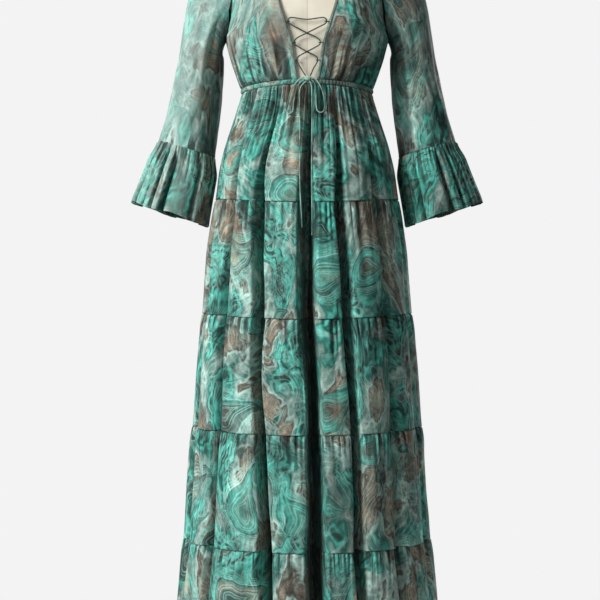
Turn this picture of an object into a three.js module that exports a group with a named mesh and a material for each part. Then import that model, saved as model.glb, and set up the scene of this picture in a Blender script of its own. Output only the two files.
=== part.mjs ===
// A tiered maxi dress on a limbless dress form.
// Millimetres, +Z up. The front faces -Y, the floor is z = 0 and the stand's pole is the Z axis.
// Angles run in degrees round the body, from the front centre (0) to the +X side (90) and the back (180).
import * as THREE from "three";

// Cloth and seams
const CLOTH = 1.5; // wall of every cloth piece
const SEAM_GAP = 0.3; // between two pieces that are sewn together
const SEAM_TURN = 0.1; // half of that gap, in degrees round the body, at the side and shoulder seams
const FORM_GAP = 0.4; // between the form and the shoulder seams that hang on it

// Heights
const HEM = 40;
const TIER_SEAMS = [934, 708, 484, 262]; // at the side of the skirt
const WAIST = 1150; // middle of the casing, at the side
const WAIST_RISE = 8; // how far the casing climbs towards the front centre
const UNDERARM = 1248;
const SHOULDER_POINT = 1442;
const NECK_POINT = 1490;
const BACK_NECK = 1476;

// Skirt outline over its ridges: drop is how far a level hangs lower at the front centre than at the side,
// fold is how deep the valleys between its columns are.
const SKIRT = [
  { z: 1146, halfWidth: 131, front: 102, back: 94, fold: 0, drop: -WAIST_RISE },
  { z: 1090, halfWidth: 149, front: 118, back: 112, fold: 5, drop: -2 },
  { z: 1040, halfWidth: 166, front: 135, back: 130, fold: 11, drop: 4 },
  { z: 994, halfWidth: 177, front: 149, back: 144, fold: 17, drop: 9 },
  { z: 934, halfWidth: 184, front: 161, back: 157, fold: 21, drop: 13 },
  { z: 910, halfWidth: 190, front: 167, back: 163, fold: 24, drop: 13 },
  { z: 832, halfWidth: 202, front: 178, back: 174, fold: 27, drop: 12 },
  { z: 708, halfWidth: 210, front: 188, back: 185, fold: 29, drop: 10 },
  { z: 684, halfWidth: 216, front: 194, back: 191, fold: 32, drop: 10 },
  { z: 590, halfWidth: 224, front: 202, back: 199, fold: 34, drop: 7 },
  { z: 484, halfWidth: 230, front: 209, back: 206, fold: 35, drop: 4 },
  { z: 460, halfWidth: 236, front: 215, back: 212, fold: 38, drop: 4 },
  { z: 370, halfWidth: 242, front: 221, back: 218, fold: 39, drop: 2 },
  { z: 262, halfWidth: 247, front: 227, back: 224, fold: 39, drop: 0 },
  { z: 238, halfWidth: 253, front: 232, back: 229, fold: 41, drop: 0 },
  { z: 150, halfWidth: 261, front: 239, back: 236, fold: 43, drop: 0 },
  { z: 40, halfWidth: 268, front: 246, back: 243, fold: 45, drop: 0 },
];

// Valleys between the columns of the skirt, and how deep each is beside the others
const VALLEYS = [
  { angle: 1.9, depth: 1.0 },
  { angle: 23.4, depth: 0.95 },
  { angle: 48.1, depth: 0.7 },
  { angle: 74, depth: 0.5 },
  { angle: 101, depth: 0.7 },
  { angle: 127, depth: 0.95 },
  { angle: 151, depth: 0.75 },
  { angle: 178, depth: 1.0 },
  { angle: 203, depth: 0.8 },
  { angle: 230, depth: 0.95 },
  { angle: 257, depth: 0.7 },
  { angle: 284, depth: 0.5 },
  { angle: 308.3, depth: 0.7 },
  { angle: 336.6, depth: 1.0 },
];
const COLUMN_POINTS = 6; // points round the skirt for each column
const VALLEY_SHARPNESS = 6;
const COLUMN_PINCH = 0.05; // how far the flanks of a column lean towards its valleys

// Rows of a gathered tier: down is the share of its height, gather the share of its gather depth
const WAIST_TIER_ROWS = [
  { down: 0, gather: 1, bulge: 0 },
  { down: 0.16, gather: 0.8, bulge: 0 },
  { down: 0.52, gather: 0, bulge: 0 },
  { down: 1, gather: 0, bulge: 0 },
];
const LOWER_TIER_ROWS = [
  { down: 0, gather: 1, bulge: 0 },
  { down: 0.11, gather: 0.6, bulge: 2 },
  { down: 0.5, gather: 0, bulge: 1 },
  { down: 1, gather: 0, bulge: 0 },
];
const WAIST_TIER = { gathersPerColumn: 3, gatherDepth: 3.2 };
const LOWER_TIER = { gathersPerColumn: 2, gatherDepth: 2.8 };

// Torso of the form, bottom to neck
const FORM = [
  { z: 770, halfWidth: 150, front: 98, back: 112 },
  { z: 870, halfWidth: 162, front: 104, back: 122 },
  { z: 940, halfWidth: 156, front: 100, back: 115 },
  { z: 1010, halfWidth: 138, front: 92, back: 99 },
  { z: 1070, halfWidth: 123, front: 88, back: 87 },
  { z: 1110, halfWidth: 122, front: 90, back: 85 },
  { z: 1150, halfWidth: 126, front: 96, back: 88 },
  { z: 1200, halfWidth: 137, front: 106, back: 94 },
  { z: 1250, halfWidth: 148, front: 114, back: 102 },
  { z: 1290, halfWidth: 152, front: 115, back: 107 },
  { z: 1340, halfWidth: 157, front: 104, back: 109 },
  { z: 1390, halfWidth: 166, front: 86, back: 104 },
  { z: 1425, halfWidth: 171, front: 72, back: 95 },
  { z: 1442, halfWidth: 165, front: 65, back: 87 },
  { z: 1458, halfWidth: 145, front: 60, back: 80 },
  { z: 1474, halfWidth: 115, front: 57, back: 74 },
  { z: 1490, halfWidth: 84, front: 55, back: 68 },
  { z: 1508, halfWidth: 64, front: 53, back: 62 },
  { z: 1540, halfWidth: 56, front: 51, back: 58 },
  { z: 1570, halfWidth: 54, front: 50, back: 56 },
];
const FORM_SIDES = 28;
const BUST = { z: 1272, angle: 29, rise: 15, heightSpread: 44, angleSpread: 17 };

// How far the inside of the bodice stands off the form, at the side and at the centre
const BODICE_EASE = [
  { z: 1150, side: 3.2, centre: 3.2 },
  { z: 1178, side: 7.5, centre: 4.5 },
  { z: 1210, side: 11.5, centre: 4.5 },
  { z: 1250, side: 12.5, centre: 4 },
  { z: 1300, side: 10.5, centre: 4 },
  { z: 1350, side: 7, centre: 3.6 },
  { z: 1400, side: 5.5, centre: 4.5 },
  { z: 1442, side: 6.5, centre: 5.5 },
  { z: 1500, side: 5, centre: 4.5 },
];
// Above this height the ease narrows to FORM_GAP at the shoulder seam
const SHOULDER_SEAT = { z: 1462, blend: 10, sharpness: 40 };
// Half of the plunging opening at the front
const NECKLINE = [
  { z: 1162, halfOpening: 18.5 },
  { z: 1197, halfOpening: 24.3 },
  { z: 1230, halfOpening: 28.5 },
  { z: 1270, halfOpening: 38.5 },
  { z: 1313, halfOpening: 52 },
  { z: 1380, halfOpening: 66 },
  { z: 1430, halfOpening: 76 },
  { z: 1468, halfOpening: 83 },
  { z: 1490, halfOpening: 85 },
];
// How far the armhole is cut forward, and as far back, from the side at 90 degrees
const ARMHOLE = [
  { z: 1248, cut: 0 },
  { z: 1262, cut: 15 },
  { z: 1290, cut: 24 },
  { z: 1335, cut: 28 },
  { z: 1385, cut: 24 },
  { z: 1422, cut: 14 },
  { z: 1442, cut: 0 },
];
const SIDE_SEAM_SHARE = 0.36; // of the bodice rows, below the armhole
// Rows of the panels: up is the share of their height, gather how far the small gathers stand out there
const BODICE_ROWS = [
  { up: 0, gather: 2.8 },
  { up: 0.08, gather: 2.2 },
  { up: 0.2, gather: 1 },
  { up: 0.36, gather: 0 },
  { up: 0.4, gather: 0 },
  { up: 0.47, gather: 0 },
  { up: 0.57, gather: 0 },
  { up: 0.7, gather: 0 },
  { up: 0.82, gather: 0 },
  { up: 0.9, gather: 0 },
  { up: 0.945, gather: 0 },
  { up: 0.975, gather: 0 },
  { up: 0.993, gather: 0 },
  { up: 1, gather: 0 },
];
const FRONT_COLUMNS = [0, 0.04, 0.14, 0.24, 0.34, 0.44, 0.54, 0.64, 0.74, 0.84, 1];
const FRONT_GATHERED = [2, 4, 6, 8]; // columns of the front that stand out in the gathers
const BACK_COLUMN_COUNT = 19;
const BACK_GATHERED = [3, 5, 8, 10, 13, 15];
const BACK_SHOULDER_SHARE = 0.2; // of the back panel's width, on each side
const BAND_WALL = 1.2;

// Sleeve below the cap: each ring's centre and size. dip is how much lower its inner side hangs than its middle.
const SLEEVE_Y = 16;
const SLEEVE = [
  { x: 211, z: 1222, halfWidth: 45, halfDepth: 55, dip: 0 },
  { x: 219, z: 1160, halfWidth: 50, halfDepth: 56, dip: 4 },
  { x: 227, z: 1105, halfWidth: 53, halfDepth: 57, dip: 9 },
  { x: 236, z: 1062, halfWidth: 55, halfDepth: 58, dip: 14 },
  { x: 242, z: 1036, halfWidth: 57, halfDepth: 59, dip: 15 },
];
const SLEEVE_SIDES = 24;
const CAP_STEPS = [0, 0.3, 0.6]; // rings of the cap, from the armhole towards the first ring below it
const CAP_BOW = { over: 60, under: 13, down: 17, downUnder: 23 }; // how the cap bows out above and below
const HEAD_GAP = 1.1; // between the armhole and the sleeve's head, sideways
const SLEEVE_FOLD = { angle: 62, spread: 20, depth: 6 }; // the long fold on the front of the sleeve

// Ruffle at the end of the sleeve
const RUFFLE = [
  { x: 242, z: 1036, halfWidth: 57, halfDepth: 59, dip: 15, fold: 2.4 },
  { x: 248, z: 1006, halfWidth: 63, halfDepth: 64, dip: 17, fold: 3.4 },
  { x: 276, z: 906, halfWidth: 73, halfDepth: 74, dip: 23, fold: 6 },
];
const RUFFLE_FOLDS = 9;
const RUFFLE_SIDES = 54;

// Lacing and bow, routes by hand: each point is x, y, z
const CORD_DIAMETER = 2.4;
const CORD_SIDES = 8;
const CORD_STEP = 3; // length of a step, in diameters
const KNOT = { x: 1.5, y: -107.9, z: 1162.5, halfWidth: 6.5, halfDepth: 3.6, halfHeight: 4.8 };
const LACE_ROUTE = [
  [-2.6, -107.6, 1167.4],
  [-6.8, -107.8, 1173],
  [-12, -109.2, 1181.5],
  [-17.2, -111.4, 1190],
  [-19.9, -112.7, 1196.5],
  [-18.4, -113.4, 1202.4],
  [-12.5, -115, 1206.6],
  [0, -117.8, 1212.8],
  [17, -119, 1221.6],
  [23.6, -119.2, 1226.2],
  [25, -119.4, 1232],
  [20.4, -119.6, 1238],
  [0, -120.2, 1247.8],
  [-25, -123.9, 1260.2],
  [-33.9, -125.2, 1264.9],
  [-36.4, -125.4, 1267.5],
  [-37.2, -125.5, 1270.6],
  [-36.3, -125.6, 1273.8],
  [-33.9, -125.7, 1276.1],
  [-30.6, -125.8, 1276.9],
  [0, -126, 1273.4],
  [30.6, -125.8, 1276.9],
  [33.9, -125.7, 1276.1],
  [36.3, -125.6, 1273.8],
  [37.2, -125.5, 1270.6],
  [36.4, -125.4, 1267.5],
  [33.9, -125.2, 1264.9],
  [25, -125, 1260.2],
  [0, -123.8, 1247.8],
  [-20.4, -119.8, 1238],
  [-25, -119.4, 1232],
  [-23.6, -119.2, 1226.2],
  [-17, -118.2, 1221.6],
  [0, -114.3, 1212.8],
  [12.5, -113.6, 1206.6],
  [18.4, -113.4, 1202.4],
  [19.9, -112.7, 1196.5],
  [17.2, -111.4, 1190],
  [12, -109.2, 1181.5],
  [8.4, -107.8, 1173],
  [5.6, -107.6, 1167.4],
];
const BOW_LOOP_LEFT = [
  [-5.6, -107.9, 1164.4],
  [-12.5, -107.9, 1162.5],
  [-20, -108.2, 1155.5],
  [-28, -109.2, 1144.5],
  [-33.6, -110.6, 1132],
  [-36, -112.2, 1120],
  [-39.2, -113.6, 1110],
  [-41.2, -114.8, 1102.2],
  [-39.6, -116, 1096.2],
  [-34.4, -118.6, 1093.4],
  [-29.1, -119.4, 1096],
  [-27.2, -118.4, 1102.4],
  [-26.8, -116.4, 1111],
  [-25.4, -114.2, 1120],
  [-22.6, -111, 1135],
  [-18.6, -109, 1147],
  [-12.5, -108.2, 1155.6],
  [-5.3, -107.9, 1160],
];
const BOW_LOOP_RIGHT = [
  [8.6, -107.9, 1164.4],
  [14.5, -107.9, 1162],
  [20.5, -108.2, 1155.5],
  [26.4, -109, 1145],
  [30.8, -110.4, 1132],
  [33.4, -113, 1119],
  [34, -115.4, 1110],
  [33.4, -117, 1102.6],
  [30.4, -118.4, 1097.2],
  [25.4, -119, 1095.2],
  [20.4, -118.8, 1097.8],
  [18, -117.6, 1103.6],
  [17.2, -115.4, 1112],
  [17, -112, 1127],
  [16.8, -110.2, 1139],
  [15.4, -108.8, 1149],
  [12.2, -108.2, 1156],
  [8.3, -107.9, 1160],
];
const BOW_TAIL_LEFT = [
  [-1.4, -108, 1157.4],
  [-7.5, -108.2, 1152],
  [-12.5, -108.5, 1145.5],
  [-14.6, -109.2, 1137],
  [-14.8, -112, 1118],
  [-14.6, -119, 1092],
  [-14.4, -129, 1062],
  [-14.4, -138.4, 1030],
  [-14.6, -147.2, 996],
  [-14.4, -153.2, 966],
  [-13.6, -158.2, 938],
  [-12.4, -163.6, 915],
  [-11, -168, 892],
  [-9.8, -169.4, 871],
];
const BOW_TAIL_RIGHT = [
  [4.3, -108, 1157.8],
  [7.5, -108.4, 1151],
  [8.7, -109.4, 1142],
  [8.8, -111.6, 1130],
  [9, -115.4, 1112],
  [9.2, -121, 1088],
  [9, -126.8, 1058],
  [8.8, -133.2, 1026],
  [8.6, -139.8, 994],
  [8.6, -145, 962],
  [8.8, -149.6, 934],
  [9, -154.4, 908],
  [9, -158, 882],
  [8.8, -160.4, 857],
];
const LOOP_HEIGHTS = [1197, 1230, 1269.6];
const LOOP = { reach: 3.6, halfDepth: 2.9, tube: 0.75, tubeSides: 4, sides: 10, gap: 0.4, standOff: 1.4 };

// Waist casing: a padded tube of cloth drawn in over the gathers
const CASING = { height: 8, wall: 3, crown: 1.6, sides: 42 };

// Stand of the form
const CAP = { radius: 58, height: 16, y: 3, sides: 22 };
const POLE = { radius: 14, sides: 20 };
const BASE = { radius: 185, edge: 8, bevel: 6, bevelRise: 2, rise: 16, hub: 32, hubBevel: 6, hubTop: 30, sides: 32 };

const geometryOf = (points, triangles) => {
  const geometry = new THREE.BufferGeometry();
  const coordinates = points.flatMap((point) => [point.x, point.y, point.z]);
  geometry.setAttribute("position", new THREE.Float32BufferAttribute(coordinates, 3));
  geometry.setIndex(triangles);
  geometry.computeVertexNormals();
  return geometry;
};

// The value of one column of a table at height z, on straight lines between its rows
function at(table, column, z) {
  const rows = table[0].z < table.at(-1).z ? table : [...table].reverse();
  if (z <= rows[0].z) return rows[0][column];
  const above = rows.findIndex((row) => row.z >= z);
  if (above < 0) return rows.at(-1)[column];
  const [low, high] = [rows[above - 1], rows[above]];
  return THREE.MathUtils.mapLinear(z, low.z, high.z, low[column], high[column]);
}

const radians = THREE.MathUtils.degToRad;

// A point on an oval section that is deeper or flatter at the back than at the front
function onOval(angle, z, halfWidth, front, back) {
  const turn = radians(angle);
  const depth = Math.cos(turn) > 0 ? front : back;
  return new THREE.Vector3(halfWidth * Math.sin(turn), -depth * Math.cos(turn), z);
}

const SHARPEST_FOLD = 0.6; // cosine that limits how far a wall reaches into the crease of a fold

// The direction that a closed ring faces, upwards
function ringAxis(ring) {
  const sum = new THREE.Vector3();
  ring.forEach((point, i) => sum.add(point.clone().cross(ring[(i + 1) % ring.length])));
  return sum.normalize();
}

// How far each point of a grid moves to follow its surface at a distance of 1. The rings of a tube keep to
// their planes, and the lowest row of a panel stays level, so that both meet the next piece squarely.
function outwards(rows, closed) {
  const count = rows[0].length;
  const beside = (row, c, step) => (closed ? row[(c + step + count) % count] : row[c + step]);
  return rows.map((row, r) => {
    const axis = closed ? ringAxis(row) : new THREE.Vector3(0, 0, 1);
    const [below, above] = [rows[Math.max(r - 1, 0)], rows[Math.min(r + 1, rows.length - 1)]];
    return row.map((point, c) => {
      const up = closed || r === 0 ? axis : above[c].clone().sub(below[c]);
      const normals = [-1, 1]
        .filter((step) => beside(row, c, step))
        .map((step) => beside(row, c, step).clone().sub(point).multiplyScalar(step).cross(up).normalize());
      const middle = normals.reduce((sum, n) => sum.add(n), new THREE.Vector3()).normalize();
      return middle.multiplyScalar(1 / Math.max(SHARPEST_FOLD, middle.dot(normals[0])));
    });
  });
}

const moved = (rows, directions, distance) =>
  rows.map((row, r) => row.map((point, c) => point.clone().addScaledVector(directions[r][c], distance)));

// A wall between a face and the same face moved inwards. Rows run from the bottom to the top and columns
// run as the angle does. A closed wall is a tube, and an open one is a panel with four edges.
function wallBetween(face, lining, closed) {
  const rowCount = face.length;
  const columnCount = face[0].length;
  const points = [...face.flat(), ...lining.flat()];
  const faceIndex = (r, c) => r * columnCount + (c % columnCount);
  const liningIndex = (r, c) => rowCount * columnCount + faceIndex(r, c);
  const triangles = [];
  const quad = (a, b, c, d) => triangles.push(a, b, c, a, c, d);
  const lastColumn = closed ? columnCount : columnCount - 1;
  for (let c = 0; c < lastColumn; c += 1) {
    for (let r = 0; r < rowCount - 1; r += 1) {
      quad(faceIndex(r, c), faceIndex(r, c + 1), faceIndex(r + 1, c + 1), faceIndex(r + 1, c));
      quad(liningIndex(r, c), liningIndex(r + 1, c), liningIndex(r + 1, c + 1), liningIndex(r, c + 1));
    }
    const top = rowCount - 1;
    quad(faceIndex(top, c), faceIndex(top, c + 1), liningIndex(top, c + 1), liningIndex(top, c));
    quad(faceIndex(0, c), liningIndex(0, c), liningIndex(0, c + 1), faceIndex(0, c + 1));
  }
  for (let r = 0; !closed && r < rowCount - 1; r += 1) {
    const last = columnCount - 1;
    quad(faceIndex(r, 0), faceIndex(r + 1, 0), liningIndex(r + 1, 0), liningIndex(r, 0));
    quad(faceIndex(r, last), liningIndex(r, last), liningIndex(r + 1, last), faceIndex(r + 1, last));
  }
  return geometryOf(points, triangles);
}

const linedTube = (face, wall = CLOTH) => moved(face, outwards(face, true), -wall);

// A filled solid through closed rings, bottom to top
function loft(rings) {
  const count = rings[0].length;
  const points = rings.flat();
  const triangles = [];
  rings.slice(1).forEach((_, r) => {
    for (let c = 0; c < count; c += 1) {
      const [a, b] = [r * count + c, r * count + ((c + 1) % count)];
      triangles.push(a, b, b + count, a, b + count, a + count);
    }
  });
  const centre = (ring) => ring.reduce((sum, p) => sum.add(p), new THREE.Vector3()).divideScalar(count);
  const [low, high] = [points.length, points.length + 1];
  points.push(centre(rings[0]), centre(rings.at(-1)));
  const top = (rings.length - 1) * count;
  for (let c = 0; c < count; c += 1) {
    const next = (c + 1) % count;
    triangles.push(low, next, c, high, top + c, top + next);
  }
  return geometryOf(points, triangles);
}

const dress = new THREE.Group();

const FINISHES = {
  cloth: { color: 0x4f9183, roughness: 0.85, side: THREE.DoubleSide },
  binding: { color: 0x3c7468, roughness: 0.85, side: THREE.DoubleSide },
  cord: { color: 0x2f5f55, roughness: 0.7 },
  linen: { color: 0xe8dfd0, roughness: 0.9 },
  wood: { color: 0x9a7148, roughness: 0.55 },
  metal: { color: 0xb9bbbd, roughness: 0.35, metalness: 0.9 },
};

function add(name, geometry, finish) {
  const mesh = new THREE.Mesh(geometry, new THREE.MeshStandardMaterial(FINISHES[finish]));
  mesh.name = name;
  dress.add(mesh);
}

// Skirt
function skirtRing(z, gathersPerColumn, gather, bulge) {
  const [halfWidth, front, back, fold, drop] = ["halfWidth", "front", "back", "fold", "drop"].map((column) =>
    at(SKIRT, column, z),
  );
  return VALLEYS.flatMap((valley, i) => {
    const next = VALLEYS[(i + 1) % VALLEYS.length];
    const turn = (next.angle - valley.angle + 360) % 360;
    return Array.from({ length: COLUMN_POINTS }, (_, j) => {
      const share = j / COLUMN_POINTS;
      const leant = share - COLUMN_PINCH * Math.sin(2 * Math.PI * share);
      const depth = THREE.MathUtils.lerp(valley.depth, next.depth, share);
      const inFold = fold * depth * Math.abs(Math.cos(Math.PI * share)) ** VALLEY_SHARPNESS;
      const inGather = gather * Math.cos(2 * Math.PI * gathersPerColumn * share);
      const out = bulge - inFold - inGather;
      const angle = valley.angle + leant * turn;
      const point = onOval(angle, z, halfWidth + out, front + out, back + out);
      point.z -= drop * Math.max(0, Math.cos(radians(angle))) ** 2;
      return point;
    });
  });
}

function skirtTier(name, top, bottom, rows, { gathersPerColumn, gatherDepth }) {
  const face = rows
    .map(({ down, gather, bulge }) =>
      skirtRing(THREE.MathUtils.lerp(top, bottom, down), gathersPerColumn, gather * gatherDepth, bulge),
    )
    .reverse();
  add(name, wallBetween(face, linedTube(face), true), "cloth");
}

const casingTop = WAIST + CASING.height / 2;
const casingBottom = WAIST - CASING.height / 2;
const tierTops = [casingBottom - SEAM_GAP, ...TIER_SEAMS.map((z) => z - SEAM_GAP / 2)];
const tierBottoms = [...TIER_SEAMS.map((z) => z + SEAM_GAP / 2), HEM];
tierTops.forEach((top, i) => {
  const [rows, gathers] = i ? [LOWER_TIER_ROWS, LOWER_TIER] : [WAIST_TIER_ROWS, WAIST_TIER];
  skirtTier(`skirt_tier_${i + 1}`, top, tierBottoms[i], rows, gathers);
});

// Waist casing
const waistRise = (angle) => WAIST_RISE * Math.max(0, Math.cos(radians(angle))) ** 2;
function casingRing(z, out) {
  return Array.from({ length: CASING.sides }, (_, i) => {
    const angle = (i * 360) / CASING.sides;
    const { halfWidth, front, back } = SKIRT[0];
    const point = onOval(angle, z, halfWidth + out, front + out, back + out);
    point.z += waistRise(angle);
    return point;
  });
}
const casingFace = [casingRing(casingBottom, 0), casingRing(WAIST, CASING.crown), casingRing(casingTop, 0)];
add("waist_casing", wallBetween(casingFace, linedTube(casingFace, CASING.wall), true), "binding");

// Dress form
function bustRise(angle, z) {
  const fromFront = Math.abs(((angle + 180) % 360) - 180);
  const across = (fromFront - BUST.angle) / BUST.angleSpread;
  const along = (z - BUST.z) / BUST.heightSpread;
  return BUST.rise * Math.exp(-across * across - along * along);
}
function onForm(angle, z, off = 0) {
  const out = bustRise(angle, z) + off;
  const [halfWidth, front, back] = ["halfWidth", "front", "back"].map((column) => at(FORM, column, z) + out);
  return onOval(angle, z, halfWidth, front, back);
}
const formRings = FORM.map(({ z }) =>
  Array.from({ length: FORM_SIDES }, (_, i) => onForm((i * 360) / FORM_SIDES, z)),
);
add("form_torso", loft(formRings), "linen");

// Bodice: each panel is a patch between four edges, in angle and height, laid over the form
function ease(angle, z) {
  const side = Math.abs(Math.sin(radians(angle)));
  const loose = THREE.MathUtils.lerp(at(BODICE_EASE, "centre", z), at(BODICE_EASE, "side", z), side ** 2);
  const { z: foot, blend, sharpness } = SHOULDER_SEAT;
  return THREE.MathUtils.lerp(loose, FORM_GAP, side ** sharpness * THREE.MathUtils.smoothstep(z, foot, foot + blend));
}
const insideBodice = ({ angle, z }, out) => onForm(angle, z, ease(angle, z) + out);

// The edge from the waist up the side seam and the armhole, forward of the side (-1) or behind it (1)
function sideEdge(share, way) {
  const foot = casingTop + SEAM_GAP;
  const z =
    share <= SIDE_SEAM_SHARE
      ? THREE.MathUtils.lerp(foot, UNDERARM, share / SIDE_SEAM_SHARE)
      : THREE.MathUtils.lerp(UNDERARM, SHOULDER_POINT, (share - SIDE_SEAM_SHARE) / (1 - SIDE_SEAM_SHARE));
  return { angle: 90 + way * (SEAM_TURN + at(ARMHOLE, "cut", z)), z };
}

// The plunging edge from the waist to the neck point
function neckEdge(share) {
  const foot = casingTop + SEAM_GAP + WAIST_RISE;
  const z = THREE.MathUtils.lerp(foot, NECK_POINT, share);
  const reach = at(FORM, "halfWidth", z) + FORM_GAP;
  const angle = THREE.MathUtils.radToDeg(Math.asin(Math.min(1, at(NECKLINE, "halfOpening", z) / reach)));
  return { angle: Math.min(angle, 90 - SEAM_TURN), z };
}

// A patch whose inside follows its four edges
function patch(s, t, { bottom, top, start, end }) {
  const sum = { angle: 0, z: 0 };
  const weigh = (place, weight) => {
    sum.angle += place.angle * weight;
    sum.z += place.z * weight;
  };
  weigh(bottom(s), 1 - t);
  weigh(top(s), t);
  weigh(start(t), 1 - s);
  weigh(end(t), s);
  weigh(bottom(0), -(1 - s) * (1 - t));
  weigh(bottom(1), -s * (1 - t));
  weigh(top(0), -(1 - s) * t);
  weigh(top(1), -s * t);
  return sum;
}

const frontEdges = {
  bottom: (s) => {
    const angle = THREE.MathUtils.lerp(neckEdge(0).angle, 90 - SEAM_TURN, s);
    return { angle, z: casingTop + SEAM_GAP + waistRise(angle) };
  },
  top: (s) => ({ angle: 90 - SEAM_TURN, z: THREE.MathUtils.lerp(NECK_POINT, SHOULDER_POINT, s) }),
  start: neckEdge,
  end: (t) => sideEdge(t, -1),
};
const BACK_SPAN = [90 + SEAM_TURN, 270 - SEAM_TURN];
const backEdges = {
  bottom: (s) => ({ angle: THREE.MathUtils.lerp(...BACK_SPAN, s), z: casingTop + SEAM_GAP }),
  top: (s) => {
    const alongShoulder = Math.min(s, 1 - s) / BACK_SHOULDER_SHARE;
    if (alongShoulder <= 1) {
      const z = THREE.MathUtils.lerp(SHOULDER_POINT, NECK_POINT, alongShoulder);
      return { angle: BACK_SPAN[Math.round(s)], z };
    }
    const across = (s - BACK_SHOULDER_SHARE) / (1 - 2 * BACK_SHOULDER_SHARE);
    const z = THREE.MathUtils.lerp(NECK_POINT, BACK_NECK, Math.sin(Math.PI * across));
    return { angle: THREE.MathUtils.lerp(...BACK_SPAN, across), z };
  },
  start: (t) => sideEdge(t, 1),
  end: (t) => {
    const { angle, z } = sideEdge(t, 1);
    return { angle: 360 - angle, z };
  },
};

// A panel from its inside out: small gathers along the waist fade upwards
function panel(columns, gathered, edges) {
  const lining = BODICE_ROWS.map(({ up, gather }) =>
    columns.map((s, c) => insideBodice(patch(s, up, edges), gathered.includes(c) ? gather : 0)),
  );
  const directions = outwards(lining, false);
  // The side and shoulder seams lie in the plane y = 0, and the wall keeps along it there
  lining.forEach((row, r) => {
    row.forEach((point, c) => {
      if (Math.abs(point.y) < CLOTH / 2) directions[r][c].setY(0).normalize();
    });
  });
  return { lining, directions, face: moved(lining, directions, CLOTH) };
}

// The same points on the other side of the body, turned round so that the columns still run with the angle
const mirrored = (rows) => rows.map((row) => row.map((p) => new THREE.Vector3(-p.x, p.y, p.z)).reverse());

function addPair(name, face, lining, closed, finish) {
  add(`${name}_right`, wallBetween(face, lining, closed), finish);
  add(`${name}_left`, wallBetween(mirrored(face), mirrored(lining), closed), finish);
}

const front = panel(FRONT_COLUMNS, FRONT_GATHERED, frontEdges);
const backColumns = Array.from({ length: BACK_COLUMN_COUNT }, (_, c) => c / (BACK_COLUMN_COUNT - 1));
const back = panel(backColumns, BACK_GATHERED, backEdges);
addPair("bodice_front", front.face, front.lining, false, "cloth");
add("bodice_back", wallBetween(back.face, back.lining, false), "cloth");

// Neck band: a strip on the edge of the opening, made from the panel's own points
const bandAt = (out) => moved(front.lining, front.directions, CLOTH + out).map((row) => row.slice(0, 2));
addPair("neck_band", bandAt(SEAM_GAP + BAND_WALL), bandAt(SEAM_GAP), false, "binding");

// Lacing: a cord through a small oval loop at each side of the opening, three to a side, tied in a bow
function cord(name, route) {
  const path = new THREE.CatmullRomCurve3(route.map((point) => new THREE.Vector3(...point)));
  const section = new THREE.Shape();
  section.absarc(0, 0, CORD_DIAMETER / 2, 0, 2 * Math.PI);
  const steps = Math.round(path.getLength() / (CORD_STEP * CORD_DIAMETER));
  const options = { steps, curveSegments: CORD_SIDES / 2, extrudePath: path };
  add(name, new THREE.ExtrudeGeometry(section, options), "cord");
}
cord("lace_cord", LACE_ROUTE);
cord("bow_loop_left", BOW_LOOP_LEFT);
cord("bow_loop_right", BOW_LOOP_RIGHT);
cord("bow_tail_left", BOW_TAIL_LEFT);
cord("bow_tail_right", BOW_TAIL_RIGHT);

const knot = new THREE.SphereGeometry(1, 12, 8).rotateX(Math.PI / 2);
knot.scale(KNOT.halfWidth, KNOT.halfDepth, KNOT.halfHeight).translate(KNOT.x, KNOT.y, KNOT.z);
add("bow_knot", knot, "cord");

// The outer edge of the neck band at height z, on the +X side
const bandEdge = bandAt(SEAM_GAP + BAND_WALL).map((row) => row[0]);
function onBandEdge(z) {
  const above = bandEdge.findIndex((point) => point.z >= z);
  const [low, high] = [bandEdge[above - 1], bandEdge[above]];
  return low.clone().lerp(high, (z - low.z) / (high.z - low.z));
}
LOOP_HEIGHTS.forEach((z, i) => {
  const edge = onBandEdge(z);
  const reach = LOOP.reach + LOOP.tube + LOOP.gap;
  for (const [side, sign] of [["right", 1], ["left", -1]]) {
    const ring = new THREE.TorusGeometry(1, LOOP.tube / LOOP.reach, LOOP.tubeSides, LOOP.sides);
    ring.scale(LOOP.reach, LOOP.halfDepth, LOOP.reach);
    ring.translate(sign * (edge.x - reach), edge.y - LOOP.standOff, z);
    add(`lace_loop_${side}_${i + 1}`, ring, "cord");
  }
});

// Sleeves. The armhole runs from the underarm over the front to the shoulder point and down the back, on the
// bodice's own edges.
const armholeRow = BODICE_ROWS.findIndex(({ up }) => up === SIDE_SEAM_SHARE);
const frontEdge = front.face.slice(armholeRow).map((row) => row.at(-1));
const backEdge = back.face.slice(armholeRow).map((row) => row[0]);
const armhole = new THREE.CurvePath();
[...frontEdge, ...backEdge.reverse()].reduce((from, to) => {
  armhole.add(new THREE.LineCurve3(from, to));
  return to;
});
const armholeLoop = armhole.getSpacedPoints(SLEEVE_SIDES).slice(0, SLEEVE_SIDES);

function sleeveRing({ x, z, halfWidth, halfDepth, dip }, sides, outAt) {
  return Array.from({ length: sides }, (_, i) => {
    const turn = (i * 2 * Math.PI) / sides;
    const out = outAt(turn);
    const inwards = (halfWidth + out) * Math.cos(turn);
    const y = SLEEVE_Y - (halfDepth + out) * Math.sin(turn);
    return new THREE.Vector3(x - inwards, y, z - (dip * inwards) / halfWidth);
  });
}

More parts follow.
